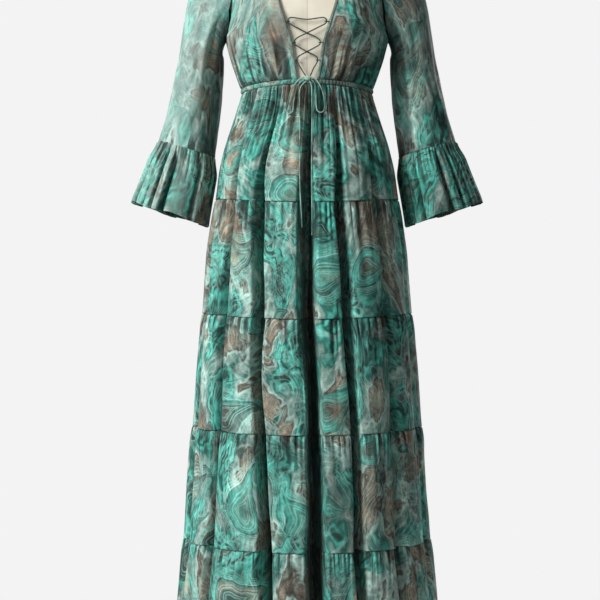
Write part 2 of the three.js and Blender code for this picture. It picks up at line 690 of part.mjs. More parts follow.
const sleeveFold = (turn) => {
  const away = (THREE.MathUtils.radToDeg(turn) - SLEEVE_FOLD.angle) / SLEEVE_FOLD.spread;
  return -SLEEVE_FOLD.depth * Math.exp(-away * away);
};
const sleeveRings = SLEEVE.map((ring, i) =>
  sleeveRing({ ...ring, z: ring.z + (i === SLEEVE.length - 1 ? SEAM_GAP / 2 : 0) }, SLEEVE_SIDES, sleeveFold),
);
const loopMiddle = armholeLoop.reduce((sum, p) => sum.add(p), new THREE.Vector3()).divideScalar(SLEEVE_SIDES);
const sleeveHead = armholeLoop.map((point) => {
  const inwards = loopMiddle.clone().sub(point).setX(0).normalize();
  return point.clone().addScaledVector(inwards, SEAM_GAP).add(new THREE.Vector3(HEAD_GAP, 0, 0));
});
const capRings = CAP_STEPS.map((step) =>
  sleeveHead.map((head, i) => {
    const foot = sleeveRings[0][i];
    const over = (1 - Math.cos((i * 2 * Math.PI) / SLEEVE_SIDES)) / 2;
    const out = THREE.MathUtils.lerp(CAP_BOW.under, CAP_BOW.over, over);
    const down = THREE.MathUtils.lerp(CAP_BOW.downUnder, CAP_BOW.down, over);
    const bow = head.clone().add(new THREE.Vector3(out, 0, -down));
    return new THREE.QuadraticBezierCurve3(head, bow, foot).getPoint(step);
  }),
);
const sleeveFace = [...capRings, ...sleeveRings].reverse();
addPair("sleeve", sleeveFace, linedTube(sleeveFace), true, "cloth");

const ruffleFace = RUFFLE.map((ring, i) => {
  const foldAt = (turn) => -ring.fold * Math.cos(RUFFLE_FOLDS * turn);
  return sleeveRing({ ...ring, z: ring.z - (i ? 0 : SEAM_GAP / 2) }, RUFFLE_SIDES, foldAt);
}).reverse();
addPair("sleeve_ruffle", ruffleFace, linedTube(ruffleFace), true, "cloth");

// Stand of the form: a turned cap on the neck, a pole under the torso and a round base
const turned = (profile, sides) =>
  new THREE.LatheGeometry(profile.map(([radius, z]) => new THREE.Vector2(radius, z)), sides).rotateX(Math.PI / 2);

const capShape = [
  [0, 0],
  [0.93, 0],
  [1, 0.25],
  [0.97, 0.65],
  [0.6, 0.95],
  [0, 1],
];
const cap = turned(capShape.map(([out, up]) => [out * CAP.radius, up * CAP.height]), CAP.sides);
add("neck_cap", cap.translate(0, CAP.y, FORM.at(-1).z + SEAM_GAP), "wood");

const poleHeight = FORM[0].z - BASE.hubTop - 2 * SEAM_GAP;
const pole = new THREE.CylinderGeometry(POLE.radius, POLE.radius, poleHeight, POLE.sides).rotateX(Math.PI / 2);
add("stand_pole", pole.translate(0, 0, BASE.hubTop + SEAM_GAP + poleHeight / 2), "metal");

const baseProfile = [
  [0, 0],
  [BASE.radius, 0],
  [BASE.radius, BASE.edge],
  [BASE.radius - BASE.bevel, BASE.edge + BASE.bevelRise],
  [BASE.hub, BASE.rise],
  [BASE.hub - BASE.hubBevel, BASE.hubTop],
  [0, BASE.hubTop],
];
add("stand_base", turned(baseProfile, BASE.sides), "metal");

export default dress;
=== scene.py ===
# The looks of a tiered maxi dress on its limbless dress form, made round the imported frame.
# Shapes are worked out in millimetres and turned into metres as they reach a mesh. The front faces -Y.
# Angles run in degrees round the body, from the front centre (0) to the +X side (90) and the back (180).
import math
import bmesh
import bpy
import numpy as np
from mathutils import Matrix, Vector


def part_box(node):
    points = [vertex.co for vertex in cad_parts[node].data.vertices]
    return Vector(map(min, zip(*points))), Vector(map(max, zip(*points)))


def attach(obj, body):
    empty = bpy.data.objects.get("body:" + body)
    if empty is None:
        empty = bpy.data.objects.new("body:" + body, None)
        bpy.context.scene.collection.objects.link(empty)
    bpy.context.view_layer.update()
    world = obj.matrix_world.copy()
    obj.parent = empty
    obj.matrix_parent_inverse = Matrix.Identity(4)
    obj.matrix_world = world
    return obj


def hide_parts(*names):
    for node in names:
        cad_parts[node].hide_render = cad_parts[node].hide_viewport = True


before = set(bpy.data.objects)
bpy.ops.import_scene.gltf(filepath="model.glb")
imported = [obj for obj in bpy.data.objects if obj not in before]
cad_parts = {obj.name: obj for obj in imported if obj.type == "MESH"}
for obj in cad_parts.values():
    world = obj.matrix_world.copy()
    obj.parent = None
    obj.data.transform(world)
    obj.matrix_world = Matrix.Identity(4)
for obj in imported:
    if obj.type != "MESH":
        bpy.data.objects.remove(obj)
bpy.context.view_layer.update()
mm = 0.001
print("frame loaded:", len(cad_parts), "nodes")

photo = {
    "eye": (-14, -3200, 734),  # where the photograph was taken from
    "width": 1200,  # of what it shows, at the middle of the dress
    "sensor": 36,
}
camera = bpy.data.objects.new("camera", bpy.data.cameras.new("camera"))
camera.data.sensor_width = photo["sensor"]
camera.data.lens = photo["sensor"] * -photo["eye"][1] / photo["width"]
camera.location = Vector(photo["eye"]) * mm
camera.rotation_euler = (math.radians(90), 0, 0)
bpy.context.collection.objects.link(camera)
bpy.context.scene.camera = camera



# Shaders

class Output:
    # What a node puts out. + - and * on it make Math nodes.
    def __init__(self, socket):
        self.socket = socket
        self.tree = socket.id_data

    def __add__(self, other):
        return maths("ADD", self, other)

    def __sub__(self, other):
        return maths("SUBTRACT", self, other)

    def __rsub__(self, other):
        return maths("SUBTRACT", other, self)

    def __mul__(self, other):
        return maths("MULTIPLY", self, other)


def plug(node, values):
    for key, value in values.items():
        if isinstance(value, Output):
            value.tree.links.new(value.socket, node.inputs[key])
        else:
            node.inputs[key].default_value = value


def nodeIn(tree, kind, inputs, **settings):
    made = tree.nodes.new(kind)
    for key, value in settings.items():
        setattr(made, key, value)
    plug(made, inputs)
    return made


def outputsOf(node):
    # By number and by name
    found = [Output(socket) for socket in node.outputs]
    return dict(enumerate(found)) | {each.socket.name: each for each in found}


def source(tree, kind, **settings):
    return outputsOf(nodeIn(tree, kind, {}, **settings))


def after(kind, inputs, **settings):
    # The outputs of a new node, in the tree of what goes into it
    tree = next(value.tree for value in inputs.values() if isinstance(value, Output))
    return outputsOf(nodeIn(tree, kind, inputs, **settings))


def maths(operation, *values, clamp=False):
    return after("ShaderNodeMath", dict(enumerate(values)), operation=operation, use_clamp=clamp)[0]


def vectorMaths(operation, *values):
    return after("ShaderNodeVectorMath", dict(enumerate(values)), operation=operation)["Vector"]


def lengthOf(vector):
    return after("ShaderNodeVectorMath", {0: vector}, operation="LENGTH")["Value"]


def scaled(vector, factor):
    return after("ShaderNodeVectorMath", {"Vector": vector, "Scale": factor}, operation="SCALE")["Vector"]


def vectorOf(x, y=0.0):
    return after("ShaderNodeCombineXYZ", {"X": x, "Y": y})[0]


def axesOf(vector):
    return after("ShaderNodeSeparateXYZ", {"Vector": vector})


def chancesOf(colour):
    return after("ShaderNodeSeparateColor", {"Color": colour})


def smooth(value, low, high):
    # 0 below low and 1 above high
    inputs = {"Value": value, "From Min": low, "From Max": high}
    return after("ShaderNodeMapRange", inputs, interpolation_type="SMOOTHSTEP")["Result"]


def lineAt(value, place, halfWidth):
    # 1 on the line where the value is at its place
    return 1.0 - smooth(maths("ABSOLUTE", value - place), halfWidth * 0.5, halfWidth)


def either(factor, below, above):
    return after("ShaderNodeMix", {0: factor, 2: below, 3: above})[0]


def mixed(factor, below, above, blend="MIX"):
    return after("ShaderNodeMix", {0: factor, 6: below, 7: above}, data_type="RGBA", blend_type=blend)[2]


def shadedBy(colour, shade):
    grey = after("ShaderNodeCombineColor", {0: shade, 1: shade, 2: shade})[0]
    return mixed(1.0, colour, grey, "MULTIPLY")


def ramp(factor, stops, interpolation="EASE"):
    made = nodeIn(factor.tree, "ShaderNodeValToRGB", {"Fac": factor})
    made.color_ramp.interpolation = interpolation
    elements = made.color_ramp.elements
    for element, (place, dye) in zip(elements, (stops[0], stops[-1])):
        element.position = place
        element.color = dyes[dye]
    for place, dye in stops[1:-1]:
        elements.new(place).color = dyes[dye]
    return Output(made.outputs["Color"])


def noise(vector, scale, detail=2.0, roughness=0.5, dimensions="2D", result="Fac"):
    inputs = {"Vector": vector, "Scale": scale, "Detail": detail, "Roughness": roughness}
    return after("ShaderNodeTexNoise", inputs, noise_dimensions=dimensions)[result]


def cells(vector, scale, randomness=1.0, feature="F1"):
    inputs = {"Vector": vector, "Scale": scale, "Randomness": randomness}
    return after("ShaderNodeTexVoronoi", inputs, voronoi_dimensions="2D", feature=feature)


def bumped(height, strength, distance):
    return after("ShaderNodeBump", {"Height": height, "Strength": strength, "Distance": distance})[0]


def newGroup(name, inputs, values, colours=()):
    # inputs: name -> value, or None for a vector
    tree = bpy.data.node_groups.new(name, "ShaderNodeTree")
    for key, value in inputs.items():
        kind = "NodeSocketVector" if value is None else "NodeSocketFloat"
        socket = tree.interface.new_socket(key, in_out="INPUT", socket_type=kind)
        if value is not None:
            socket.default_value = value
    for key in values:
        tree.interface.new_socket(key, in_out="OUTPUT", socket_type="NodeSocketFloat")
    for key in colours:
        tree.interface.new_socket(key, in_out="OUTPUT", socket_type="NodeSocketColor")
    return tree, source(tree, "NodeGroupInput"), tree.nodes.new("NodeGroupOutput")


def placed(group, **values):
    return after("ShaderNodeGroup", values, node_tree=group)


def srgb(red, green, blue):
    # A colour as it looks on screen, 0 to 255, in the renderer's linear light
    return tuple(((c / 255 + 0.055) / 1.055) ** 2.4 for c in (red, green, blue)) + (1.0,)


dyes = {
    "deepTeal": srgb(22, 70, 63),
    "teal": srgb(42, 110, 99),
    "turquoise": srgb(76, 176, 159),
    "aqua": srgb(164, 212, 201),
    "sage": srgb(114, 144, 134),
    "paleSage": srgb(160, 186, 176),
    "umber": srgb(82, 82, 73),
    "taupe": srgb(126, 122, 108),
    "brown": srgb(116, 102, 86),
    # a paler tone for painted light, not a dye of the print
    "paintedLightTone": srgb(184, 208, 200),
    "peach": srgb(192, 162, 134),
}
# Sizes are shares of a cell of the print
boteh = {"head": 0.21, "tip": 0.02, "height": 0.44, "low": 0.13, "scatter": 0.85}


def botehGroup():
    # The signed distance from a scatter of bent teardrops, one to a cell, in cells
    tree, given, wanted = newGroup("boteh distance", {"Vector": None, "Scale": 8.0, "Curl": 1.1},
                                   ["Distance", "Around", "Within"], ["Random"])
    head, tip, height = boteh["head"], boteh["tip"], boteh["height"]
    lean = (head - tip) / height
    upright = math.sqrt(1 - lean * lean)
    cell = cells(given["Vector"], given["Scale"], boteh["scatter"])
    border = cells(given["Vector"], given["Scale"], boteh["scatter"], "DISTANCE_TO_EDGE")["Distance"]
    local = scaled(vectorMaths("SUBTRACT", given["Vector"], cell["Position"]), given["Scale"])
    chance = chancesOf(cell["Color"])
    inputs = {"Vector": local, "Angle": chance[0] * (2 * math.pi)}
    place = axesOf(after("ShaderNodeVectorRotate", inputs, rotation_type="Z_AXIS")[0])
    y = place[1] + boteh["low"]
    side = maths("GREATER_THAN", chance[1], 0.5) * 2.0 - 1.0
    x = place[0] - y * y * (given["Curl"] * side)
    across = maths("ABSOLUTE", x)
    atHead = lengthOf(vectorOf(across, y)) - head
    atTip = lengthOf(vectorOf(across, y - height)) - tip
    along = y * upright - across * lean
    flank = across * upright + y * lean - head
    upper = either(maths("GREATER_THAN", along, upright * height), flank, atTip)
    whole = either(maths("GREATER_THAN", along, 0.0), atHead, upper)
    plug(wanted, {"Distance": whole, "Around": maths("ARCTAN2", x, y), "Within": smooth(border, 0.01, 0.09),
                  "Random": cell["Color"]})
    return tree


# Stops of each ramp are (place, dye). Lines are (distance from the teardrop's rim, strength).
paisleyPrint = {
    "ground": [
        (0.27, "teal"), (0.34, "turquoise"), (0.39, "deepTeal"), (0.44, "turquoise"), (0.48, "teal"),
        (0.52, "sage"), (0.56, "paleSage"), (0.595, "umber"), (0.64, "taupe"), (0.71, "brown"),
        (0.77, "taupe"), (0.85, "peach"),
    ],
    # scale, lines, shift and where they start to show
    "contours": [(6.0, 26.0, (0.0, 0.0, 0.0), 0.44), (13.0, 17.0, (0.7, 0.3, 0.0), 0.47),
                 (24.0, 13.0, (0.2, 0.9, 0.0), 0.5)],
    "motifs": [
        {
            "scale": 19.0, "curl": 1.5, "shift": (0.31, 0.17, 0.0), "fringe": 16.0, "share": 0.32,
            "fills": [(0.0, "teal"), (0.35, "turquoise"), (0.6, "sage"), (0.85, "deepTeal")],
            "cores": [(0.2, "umber"), (0.5, "turquoise"), (0.8, "deepTeal")],
            "lines": [(-0.05, 0.6), (0.05, 0.5), (0.11, 0.35)],
        },
        {
            "scale": 6.6, "curl": 1.25, "shift": (0.0, 0.0, 0.0), "fringe": 30.0, "share": 0.52,
            "fills": [(0.0, "turquoise"), (0.25, "teal"), (0.45, "sage"), (0.6, "turquoise"), (0.8, "taupe"),
                      (0.95, "deepTeal")],
            "cores": [(0.1, "deepTeal"), (0.35, "umber"), (0.6, "turquoise"), (0.9, "peach")],
            "lines": [(-0.145, 0.5), (-0.12, 0.6), (-0.07, 0.7), (-0.04, 0.6), (0.035, 0.8), (0.06, 0.6),
                      (0.085, 0.55), (0.115, 0.45), (0.15, 0.35)],
        },
    ],
}


def withMotifs(colour, bent, warmth, group, motif):
    # Teardrops with a dark rim, pale echo lines inside and out, and a feathered fringe
    shifted = vectorMaths("ADD", bent, motif["shift"])
    made = placed(group, Vector=shifted, Scale=motif["scale"], Curl=motif["curl"])
    distance = made["Distance"]
    chance = chancesOf(made["Random"])
    pick = chance[1] + (noise(bent, 45.0) - 0.5) * 0.3
    fill = ramp(pick, motif["fills"], "LINEAR")
    core = ramp(maths("FRACT", pick + 0.37), motif["cores"], "LINEAR")
    fill = mixed(1.0 - smooth(distance, -0.105, -0.085), fill, core)
    inside = 1.0 - smooth(distance, -0.004, 0.004)
    wet = maths("ADD", 0.45, noise(bent, 18.0) * 0.8, clamp=True)
    cool = 1.0 - maths("MULTIPLY", warmth, 0.4, clamp=True)
    there = maths("LESS_THAN", chance[0], motif["share"]) * cool * made["Within"]
    colour = mixed(there * inside * wet, colour, fill)
    colour = mixed(lineAt(distance, 0.016, 0.02) * there * 0.5, colour, dyes["deepTeal"])
    echoes = 0.0
    for where, strength in motif["lines"]:
        echoes = maths("MAXIMUM", lineAt(distance, where, 0.01) * (strength * 0.62), echoes)
    colour = mixed(echoes * there, colour, dyes["aqua"])
    hairs = maths("SINE", made["Around"] * motif["fringe"] + distance * 30.0)
    band = smooth(distance, 0.035, 0.05) * (1.0 - smooth(distance, 0.07, 0.17))
    feathers = smooth(hairs, -0.1, 0.7) * band * (there * maths("GREATER_THAN", chance[2], 0.45))
    return mixed(feathers * 0.8, colour, dyes["turquoise"])


def paisleyGroup():
    # A generic paisley in the colours of wet dye, on a marbled ground
    tree, given, wanted = newGroup("generic paisley", {"Vector": None, "Warmth": 0.0}, [], ["Color"])
    bent = given["Vector"]
    for scale, detail, reach in ((3.2, 1.0, 0.16), (17.0, 1.5, 0.022)):
        flow = noise(given["Vector"], scale, detail, result="Color")
        bent = vectorMaths("ADD", bent, scaled(vectorMaths("SUBTRACT", flow, (0.5, 0.5, 0.5)), reach))

    # Washes of colour that run up the cloth, with fine contour lines in patches
    upright = vectorMaths("MULTIPLY", bent, (1.0, 0.6, 1.0))
    wash = noise(upright, 8.5, 4.0, 0.6) + given["Warmth"] * 0.13
    contours = 0.0
    for scale, steps, shift, low in paisleyPrint["contours"]:
        step = maths("FRACT", noise(vectorMaths("ADD", upright, shift), scale, 0.8) * steps)
        patch = noise(vectorMaths("ADD", given["Vector"], shift), 8.0, 1.5)
        contours = maths("MAXIMUM", lineAt(step, 0.5, 0.2) * smooth(patch, low, low + 0.1), contours)
    colour = mixed(contours * 0.34, ramp(wash, paisleyPrint["ground"]), dyes["aqua"])

    # Specks in the brown and peach parts
    specks = smooth(cells(bent, 260.0)["Distance"], 0.2, 0.34)
    warm = smooth(wash, 0.56, 0.64) * (1.0 - specks)
    colour = mixed(warm * 0.36, colour, dyes["peach"])
    group = botehGroup()
    for motif in paisleyPrint["motifs"]:
        colour = withMotifs(colour, bent, given["Warmth"], group, motif)

    # The dye sits unevenly in the cloth
    blot = noise(given["Vector"], 130.0, 3.0, 0.7)
    cloud = noise(given["Vector"], 14.0)
    bloom = noise(bent, 42.0, 3.0, 0.6)
    plug(wanted, {"Color": shadedBy(colour, blot * 1.0 + cloud * 1.9 + bloom * 1.3 - 1.1)})
    return tree


def weaveGroup():
    # Threads over and under, as a height, with slubs
    tree, given, wanted = newGroup("weave", {"Vector": None, "Threads": 1400.0, "Crinkle": 0.5},
                                   ["Height", "Shade"])
    place = axesOf(given["Vector"])
    waves = [maths("SINE", place[axis] * given["Threads"] * math.pi) for axis in (0, 1)]
    woven = maths("ABSOLUTE", waves[0]) * maths("ABSOLUTE", waves[1])
    slub = noise(given["Vector"], 420.0)
    crinkle = noise(vectorMaths("MULTIPLY", given["Vector"], (1.0, 0.3, 1.0)), 110.0, 3.0, 0.6)
    height = woven * 0.25 + slub * 0.3 + crinkle * given["Crinkle"]
    plug(wanted, {"Height": height, "Shade": woven * 0.16 + 0.9})
    return tree


def wrinkleGroup():
    # Fine uneven wrinkles that run away from a gathered seam: 1 in their grooves
    tree, given, wanted = newGroup("gathered wrinkles", {"Vector": None, "Gathered": 0.0, "Spacing": 0.012},
                                   ["Groove"])
    place = axesOf(given["Vector"])
    across = maths("DIVIDE", place[0], given["Spacing"])
    groove = 1.0 - smooth(noise(vectorOf(across, place[1] * 6.0), 1.0, 1.5), 0.38, 0.5)
    reach = given["Gathered"] + (noise(vectorOf(across), 0.6, 1.0) - 0.5)
    shown = smooth(reach, 0.15, 0.6) * smooth(given["Gathered"], 0.02, 0.2)
    plug(wanted, {"Groove": groove * shown})
    return tree


paisley = paisleyGroup()
weave = weaveGroup()
wrinkles = wrinkleGroup()


def newMaterial(name):
    made = bpy.data.materials.new(name)
    made.use_nodes = True
    tree = made.node_tree
    tree.nodes.clear()
    shader = tree.nodes.new("ShaderNodeBsdfPrincipled")
    tree.links.new(shader.outputs[0], tree.nodes.new("ShaderNodeOutputMaterial").inputs["Surface"])
    return made, tree, shader


cloth = {
    "stitch": 0.0026,  # metres from one stitch to the next
    "stitchLine": 5.2,  # mm from the edge
    "stitchWidth": 0.7,
    "stitchShade": 0.35,
    "stitchDepth": 0.8,
    "grooveShade": 0.78,
    "grooveDepth": 2.5,
    "valleyShade": 0.6,
    "bump": 0.5,
    "bumpDistance": 0.0012,
    "roughness": 0.66,
    "sheen": 0.05,
    "sheenRoughness": 0.45,
}


def dyedCloth(name, dim=1.0, tint=None):
    # Printed cloth: UV map "cut" is in metres on the flat piece, shifted to where its print starts
    made, tree, shader = newMaterial(name)
    cut = source(tree, "ShaderNodeUVMap", uv_map="cut")[0]
    # warmth: how brown the dye is. edge: mm from the sewn edge. gathered: 1 at a gathered seam.
    # valley: painted shade, up to 1 at the foot of a fold, and painted light below 0, where the cloth is
    # painted paler.
    warmth, edge, gathered, valley = [source(tree, "ShaderNodeAttribute", attribute_name=key)["Fac"]
                                      for key in ("warmth", "edge", "gathered", "valley")]
    woven = placed(weave, Vector=cut)
    colour = placed(paisley, Vector=cut, Warmth=warmth)["Color"]
    if tint:
        colour = mixed(tint[0], colour, tint[1])
    dash = smooth(maths("SINE", axesOf(cut)[0] * (2 * math.pi / cloth["stitch"])), -0.3, 0.2)
    stitch = lineAt(edge, cloth["stitchLine"], cloth["stitchWidth"]) * dash
    groove = placed(wrinkles, Vector=cut, Gathered=gathered)["Groove"]
    # Painted light: below 0 the colour goes towards a paler tone, as if the light fell on it
    colour = mixed(maths("MULTIPLY", valley, -1.0, clamp=True), colour, dyes["paintedLightTone"])
    shade = woven["Shade"] * dim * (1.0 - stitch * cloth["stitchShade"])
    # Painted shade in the grooves of the gathered wrinkles, beside their bump
    shade = shade * (1.0 - groove * cloth["grooveShade"])
    # Painted shade at the foot of each fold and in the grooves of the gathers
    shade = shade * (1.0 - maths("MULTIPLY", valley, cloth["valleyShade"], clamp=True))
    height = woven["Height"] - stitch * cloth["stitchDepth"] - groove * cloth["grooveDepth"]
    plug(shader, {"Base Color": shadedBy(colour, shade),
                  "Normal": bumped(height, cloth["bump"], cloth["bumpDistance"]),
                  "Roughness": woven["Shade"] * 0.16 + cloth["roughness"],
                  "Sheen Weight": cloth["sheen"], "Sheen Roughness": cloth["sheenRoughness"]})
    return made


def cordMaterial(name, dark, light):
    made, tree, shader = newMaterial(name)
    cut = source(tree, "ShaderNodeUVMap", uv_map="cut")[0]
    place = axesOf(cut)
    change = noise(vectorMaths("MULTIPLY", cut, (0.2, 1.0, 1.0)), 26.0)
    colour = mixed(smooth(change, 0.38, 0.62), dark, light)
    # Twisted strands: one every 8.2 mm round the cord and every 4.5 mm along it
    turns = place[0] * (2 * math.pi / 0.0082) + place[1] * (2 * math.pi / 0.0045)
    twist = maths("ABSOLUTE", maths("SINE", turns))
    # Painted shade between the strands, where the twist is low
    plug(shader, {"Base Color": shadedBy(colour, twist * 0.3 + 0.7), "Normal": bumped(twist, 0.5, 0.0006),
                  "Roughness": 0.8 - twist * 0.15, "Sheen Weight": 0.15})
    return made


def linenMaterial():
    made, tree, shader = newMaterial("form linen")
    axes = axesOf(source(tree, "ShaderNodeTexCoord")["Object"])
    flat = vectorOf(axes[0], axes[2])
    woven = placed(weave, Vector=flat, Threads=900.0, Crinkle=0.1)
    colour = mixed(smooth(noise(flat, 16.0, 3.0), 0.3, 0.7), srgb(222, 215, 196), srgb(232, 226, 208))
    seam = lineAt(axes[0], 0.0, 0.0011)
    colour = mixed(seam * 0.5, colour, srgb(168, 152, 130))
    plug(shader, {"Base Color": shadedBy(colour, woven["Shade"]), "Roughness": woven["Shade"] * 0.12 + 0.72,
                  "Normal": bumped(woven["Height"] - seam, 0.3, 0.0006)})
    return made


def woodMaterial():
    made, tree, shader = newMaterial("cap wood")
    place = source(tree, "ShaderNodeTexCoord")["Object"]
    grain = noise(vectorMaths("MULTIPLY", place, (1.0, 9.0, 6.0)), 22.0, 5.0, dimensions="3D")
    rings = maths("FRACT", grain * 9.0)
    colour = mixed(smooth(rings, 0.1, 0.9), srgb(146, 104, 66), srgb(184, 142, 98))
    plug(shader, {"Base Color": colour, "Roughness": grain * 0.2 + 0.34, "Coat Weight": 0.25,
                  "Normal": bumped(rings, 0.12, 0.0005)})
    return made


def metalMaterial():
    made, tree, shader = newMaterial("stand metal")
    place = source(tree, "ShaderNodeTexCoord")["Object"]
    streak = noise(vectorMaths("MULTIPLY", place, (1.0, 1.0, 0.05)), 500.0, 3.0, dimensions="3D")
    worn = noise(place, 18.0, 4.0, dimensions="3D")
    plug(shader, {"Base Color": mixed(worn, srgb(168, 170, 172), srgb(206, 207, 208)),
                  "Roughness": streak * 0.22 + 0.22, "Metallic": 0.95})
    return made


printedCloth = dyedCloth("printed cloth")
bindingCloth = dyedCloth("binding cloth", 0.9, (0.35, dyes["sage"]))
darkCord = cordMaterial("dark cord", srgb(26, 48, 40), srgb(52, 80, 66))
paleCord = cordMaterial("pale cord", srgb(70, 116, 102), srgb(150, 192, 176))
formLinen, capWood, standMetal = linenMaterial(), woodMaterial(), metalMaterial()
print("materials made")


# Meshes

def toMetres(points):
    return np.asarray(points, float) * mm


def stepsOf(points, axis=0):
    return np.linalg.norm(np.diff(points, axis=axis), axis=-1)


def summed(steps):
    return np.concatenate([[0], np.cumsum(steps)])


def farAlong(line):
    # mm from the line's start to each of its points
    return summed(stepsOf(line))


def finishPiece(name, bm, material, slot):
    mesh = bpy.data.meshes.new(name)
    bm.to_mesh(mesh)
    bm.free()
    mesh.shade_smooth()
    mesh.materials.append(material)
    piece = bpy.data.objects.new(name, mesh)
    bpy.context.collection.objects.link(piece)
    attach(piece, "root")
    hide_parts(name)
    return piece


# Where the dye is browner (above 0) or bluer (below 0) than elsewhere: x, z, width, height, how much
dyePatches = {
    1: [  # front
        (-64, 1235, 24, 100, 2.1), (62, 1235, 24, 100, 2.1), (-112, 1275, 24, 90, -1.3),
        (108, 1280, 24, 80, 0.3), (-54, 1050, 14, 60, -0.9), (52, 1035, 15, 50, -1.1),
        (-30, 1035, 13, 75, 1.3), (92, 975, 14, 40, 0.9), (-128, 1040, 20, 50, 0.6),
        (-152, 890, 20, 60, 0.9), (-54, 830, 20, 90, -1.0), (152, 840, 20, 60, 0.8),
        (118, 740, 20, 50, -1.0), (-144, 735, 26, 40, -0.7), (-90, 590, 30, 90, 0.7),
        (60, 610, 26, 70, -0.6), (150, 560, 30, 60, 0.5), (-180, 560, 26, 60, -0.6),
        (-60, 380, 36, 70, -0.7), (100, 370, 30, 70, 0.7), (-205, 1215, 26, 34, 1.3),
        (-214, 1130, 30, 34, 1.2), (240, 1110, 18, 60, 0.9), (202, 1150, 24, 150, 0.8),
        (-44, 486, 15, 18, 1.9), (58, 520, 13, 36, 1.6), (132, 550, 13, 26, 1.6), (212, 408, 15, 24, 1.8),
        (-156, 868, 15, 28, 1.7), (-160, 314, 18, 30, 1.4), (-70, 290, 18, 24, 1.4),
        (-132, 582, 15, 26, 1.3),
    ],
    -1: [  # back
        (-60, 1300, 40, 90, -0.8), (70, 1180, 40, 60, 0.6), (40, 860, 40, 90, -0.8),
        (-110, 780, 30, 90, 0.8), (90, 520, 40, 90, 0.6), (-60, 400, 40, 90, -0.8),
    ],
}
sideLine = 10  # mm past the middle of the body at which a patch ends


def warmthAt(points):
    total = np.zeros(points.shape[:2])
    for facing, patches in dyePatches.items():
        for x, z, width, height, amount in patches:
            near = np.exp(-((points[..., 0] - x) / width) ** 2 - ((points[..., 2] - z) / height) ** 2)
            total += amount * near * (points[..., 1] * facing < sideLine)
    return total


farFromEdge = 99.0  # mm from a sewn edge, for cloth that has none there
clothWall = 1.0


def gridOf(points, closed=False, printStart=(0, 0), edges=None, gathered=None, valley=None):
    # A grid laid over rows of points: rows run up, columns as the angle does. Closed, it meets itself.
    rows, columns = points.shape[:2]
    bm = bmesh.new()
    bmesh.ops.create_grid(bm, x_segments=columns - 1, y_segments=rows - 1, size=0.5)
    cut = bm.loops.layers.uv.new("cut")
    edge, warm = bm.verts.layers.float.new("edge"), bm.verts.layers.float.new("warmth")
    pull, sunk = bm.verts.layers.float.new("gathered"), bm.verts.layers.float.new("valley")
    warmth = warmthAt(points)
    gathered, valley = [np.broadcast_to(0.0 if values is None else values, points.shape[:2])
                        for values in (gathered, valley)]
    u = summed(stepsOf(points, 1).mean(axis=0)) * mm + printStart[0]
    v = summed(stepsOf(points).mean(axis=1)) * mm + printStart[1]
    metres = toMetres(points)
    for vert in bm.verts:
        column = round((vert.co.x + 0.5) * (columns - 1))
        row = round((vert.co.y + 0.5) * (rows - 1))
        for loop in vert.link_loops:
            loop[cut].uv = (u[column], v[row])
        vert[edge] = farFromEdge if edges is None else edges[row]
        vert[warm] = warmth[row, column]
        vert[pull] = gathered[row, column]
        vert[sunk] = valley[row, column]
        vert.co = metres[row, column]
    if closed:
        bmesh.ops.remove_doubles(bm, verts=bm.verts, dist=1e-6)
    return bm


def areaOf(points):
    across = points[:-1, 1:] - points[:-1, :-1]
    up = points[1:, :-1] - points[:-1, :-1]
    return np.linalg.norm(np.cross(across, up), axis=2).sum()


def clothPiece(name, points, printStart, restsOn, held="gathered", closed=False, bound=None, **masks):
    # bound is the wall of a binding. Other cloth is the printed one.
    bm = gridOf(points, closed, printStart, **masks)
    finish = (bindingCloth, "binding_cloth") if bound else (printedCloth, "printed_cloth")
    piece = finishPiece(name, bm, *finish)
    shell = piece.modifiers.new("wall", "SOLIDIFY")
    shell.thickness = (bound or clothWall) * mm
    shell.offset = -1
    area = float(areaOf(points)) * mm * mm


def between(a, b, low, high, t):
    return a + (b - a) * (t - low) / (high - low)


def routeThrough(points, step):
    # The smooth line through given points, the same as in the frame
    points = np.asarray(points, float)
    padded = np.vstack([2 * points[0] - points[1], points, 2 * points[-1] - points[-2]])
    line = []
    for i in range(1, len(padded) - 2):
        four = padded[i - 1:i + 3]
        knots = summed(stepsOf(four) ** 0.5)
        count = max(2, round(np.linalg.norm(four[2] - four[1]) / step))
        for t in np.linspace(knots[1], knots[2], count, endpoint=False):
            first = [between(four[j], four[j + 1], knots[j], knots[j + 1], t) for j in range(3)]
            second = [between(first[j], first[j + 1], knots[j], knots[j + 2], t) for j in range(2)]
            line.append(between(second[0], second[1], knots[1], knots[2], t))
    line.append(points[-1])
    return np.array(line)


def ringsAlong(line, radii, sides, twist=0.0, ply=0.0, closed=False):
    # Rings round a line, each turned as little as can be from the one before it
    if closed:
        tangents = np.roll(line, -1, axis=0) - np.roll(line, 1, axis=0)
    else:
        tangents = np.gradient(line, axis=0)
    tangents /= np.linalg.norm(tangents, axis=1)[:, None]
    side = np.cross(tangents[0], (0.3, 0.9, 0.2))  # any way that no cord starts in
    rings = []
    turns = np.linspace(0, 2 * np.pi, sides + 1)
    for centre, tangent, radius, far in zip(line, tangents, radii, farAlong(line)):
        side = side - tangent * (side @ tangent)
        side /= np.linalg.norm(side)
        other = np.cross(tangent, side)
        wide = radius * (1 + ply * np.cos(2 * (turns - twist * far)))
        rings.append(centre + np.outer(wide * np.cos(turns), side) + np.outer(wide * np.sin(turns), other))
    return np.array(rings)


def closeEnds(bm):
    ends = [e for e in bm.edges if e.is_boundary]
    bmesh.ops.holes_fill(bm, edges=ends, sides=0)
    bmesh.ops.recalc_face_normals(bm, faces=bm.faces)


# Cords, by the points of the frame's own routes

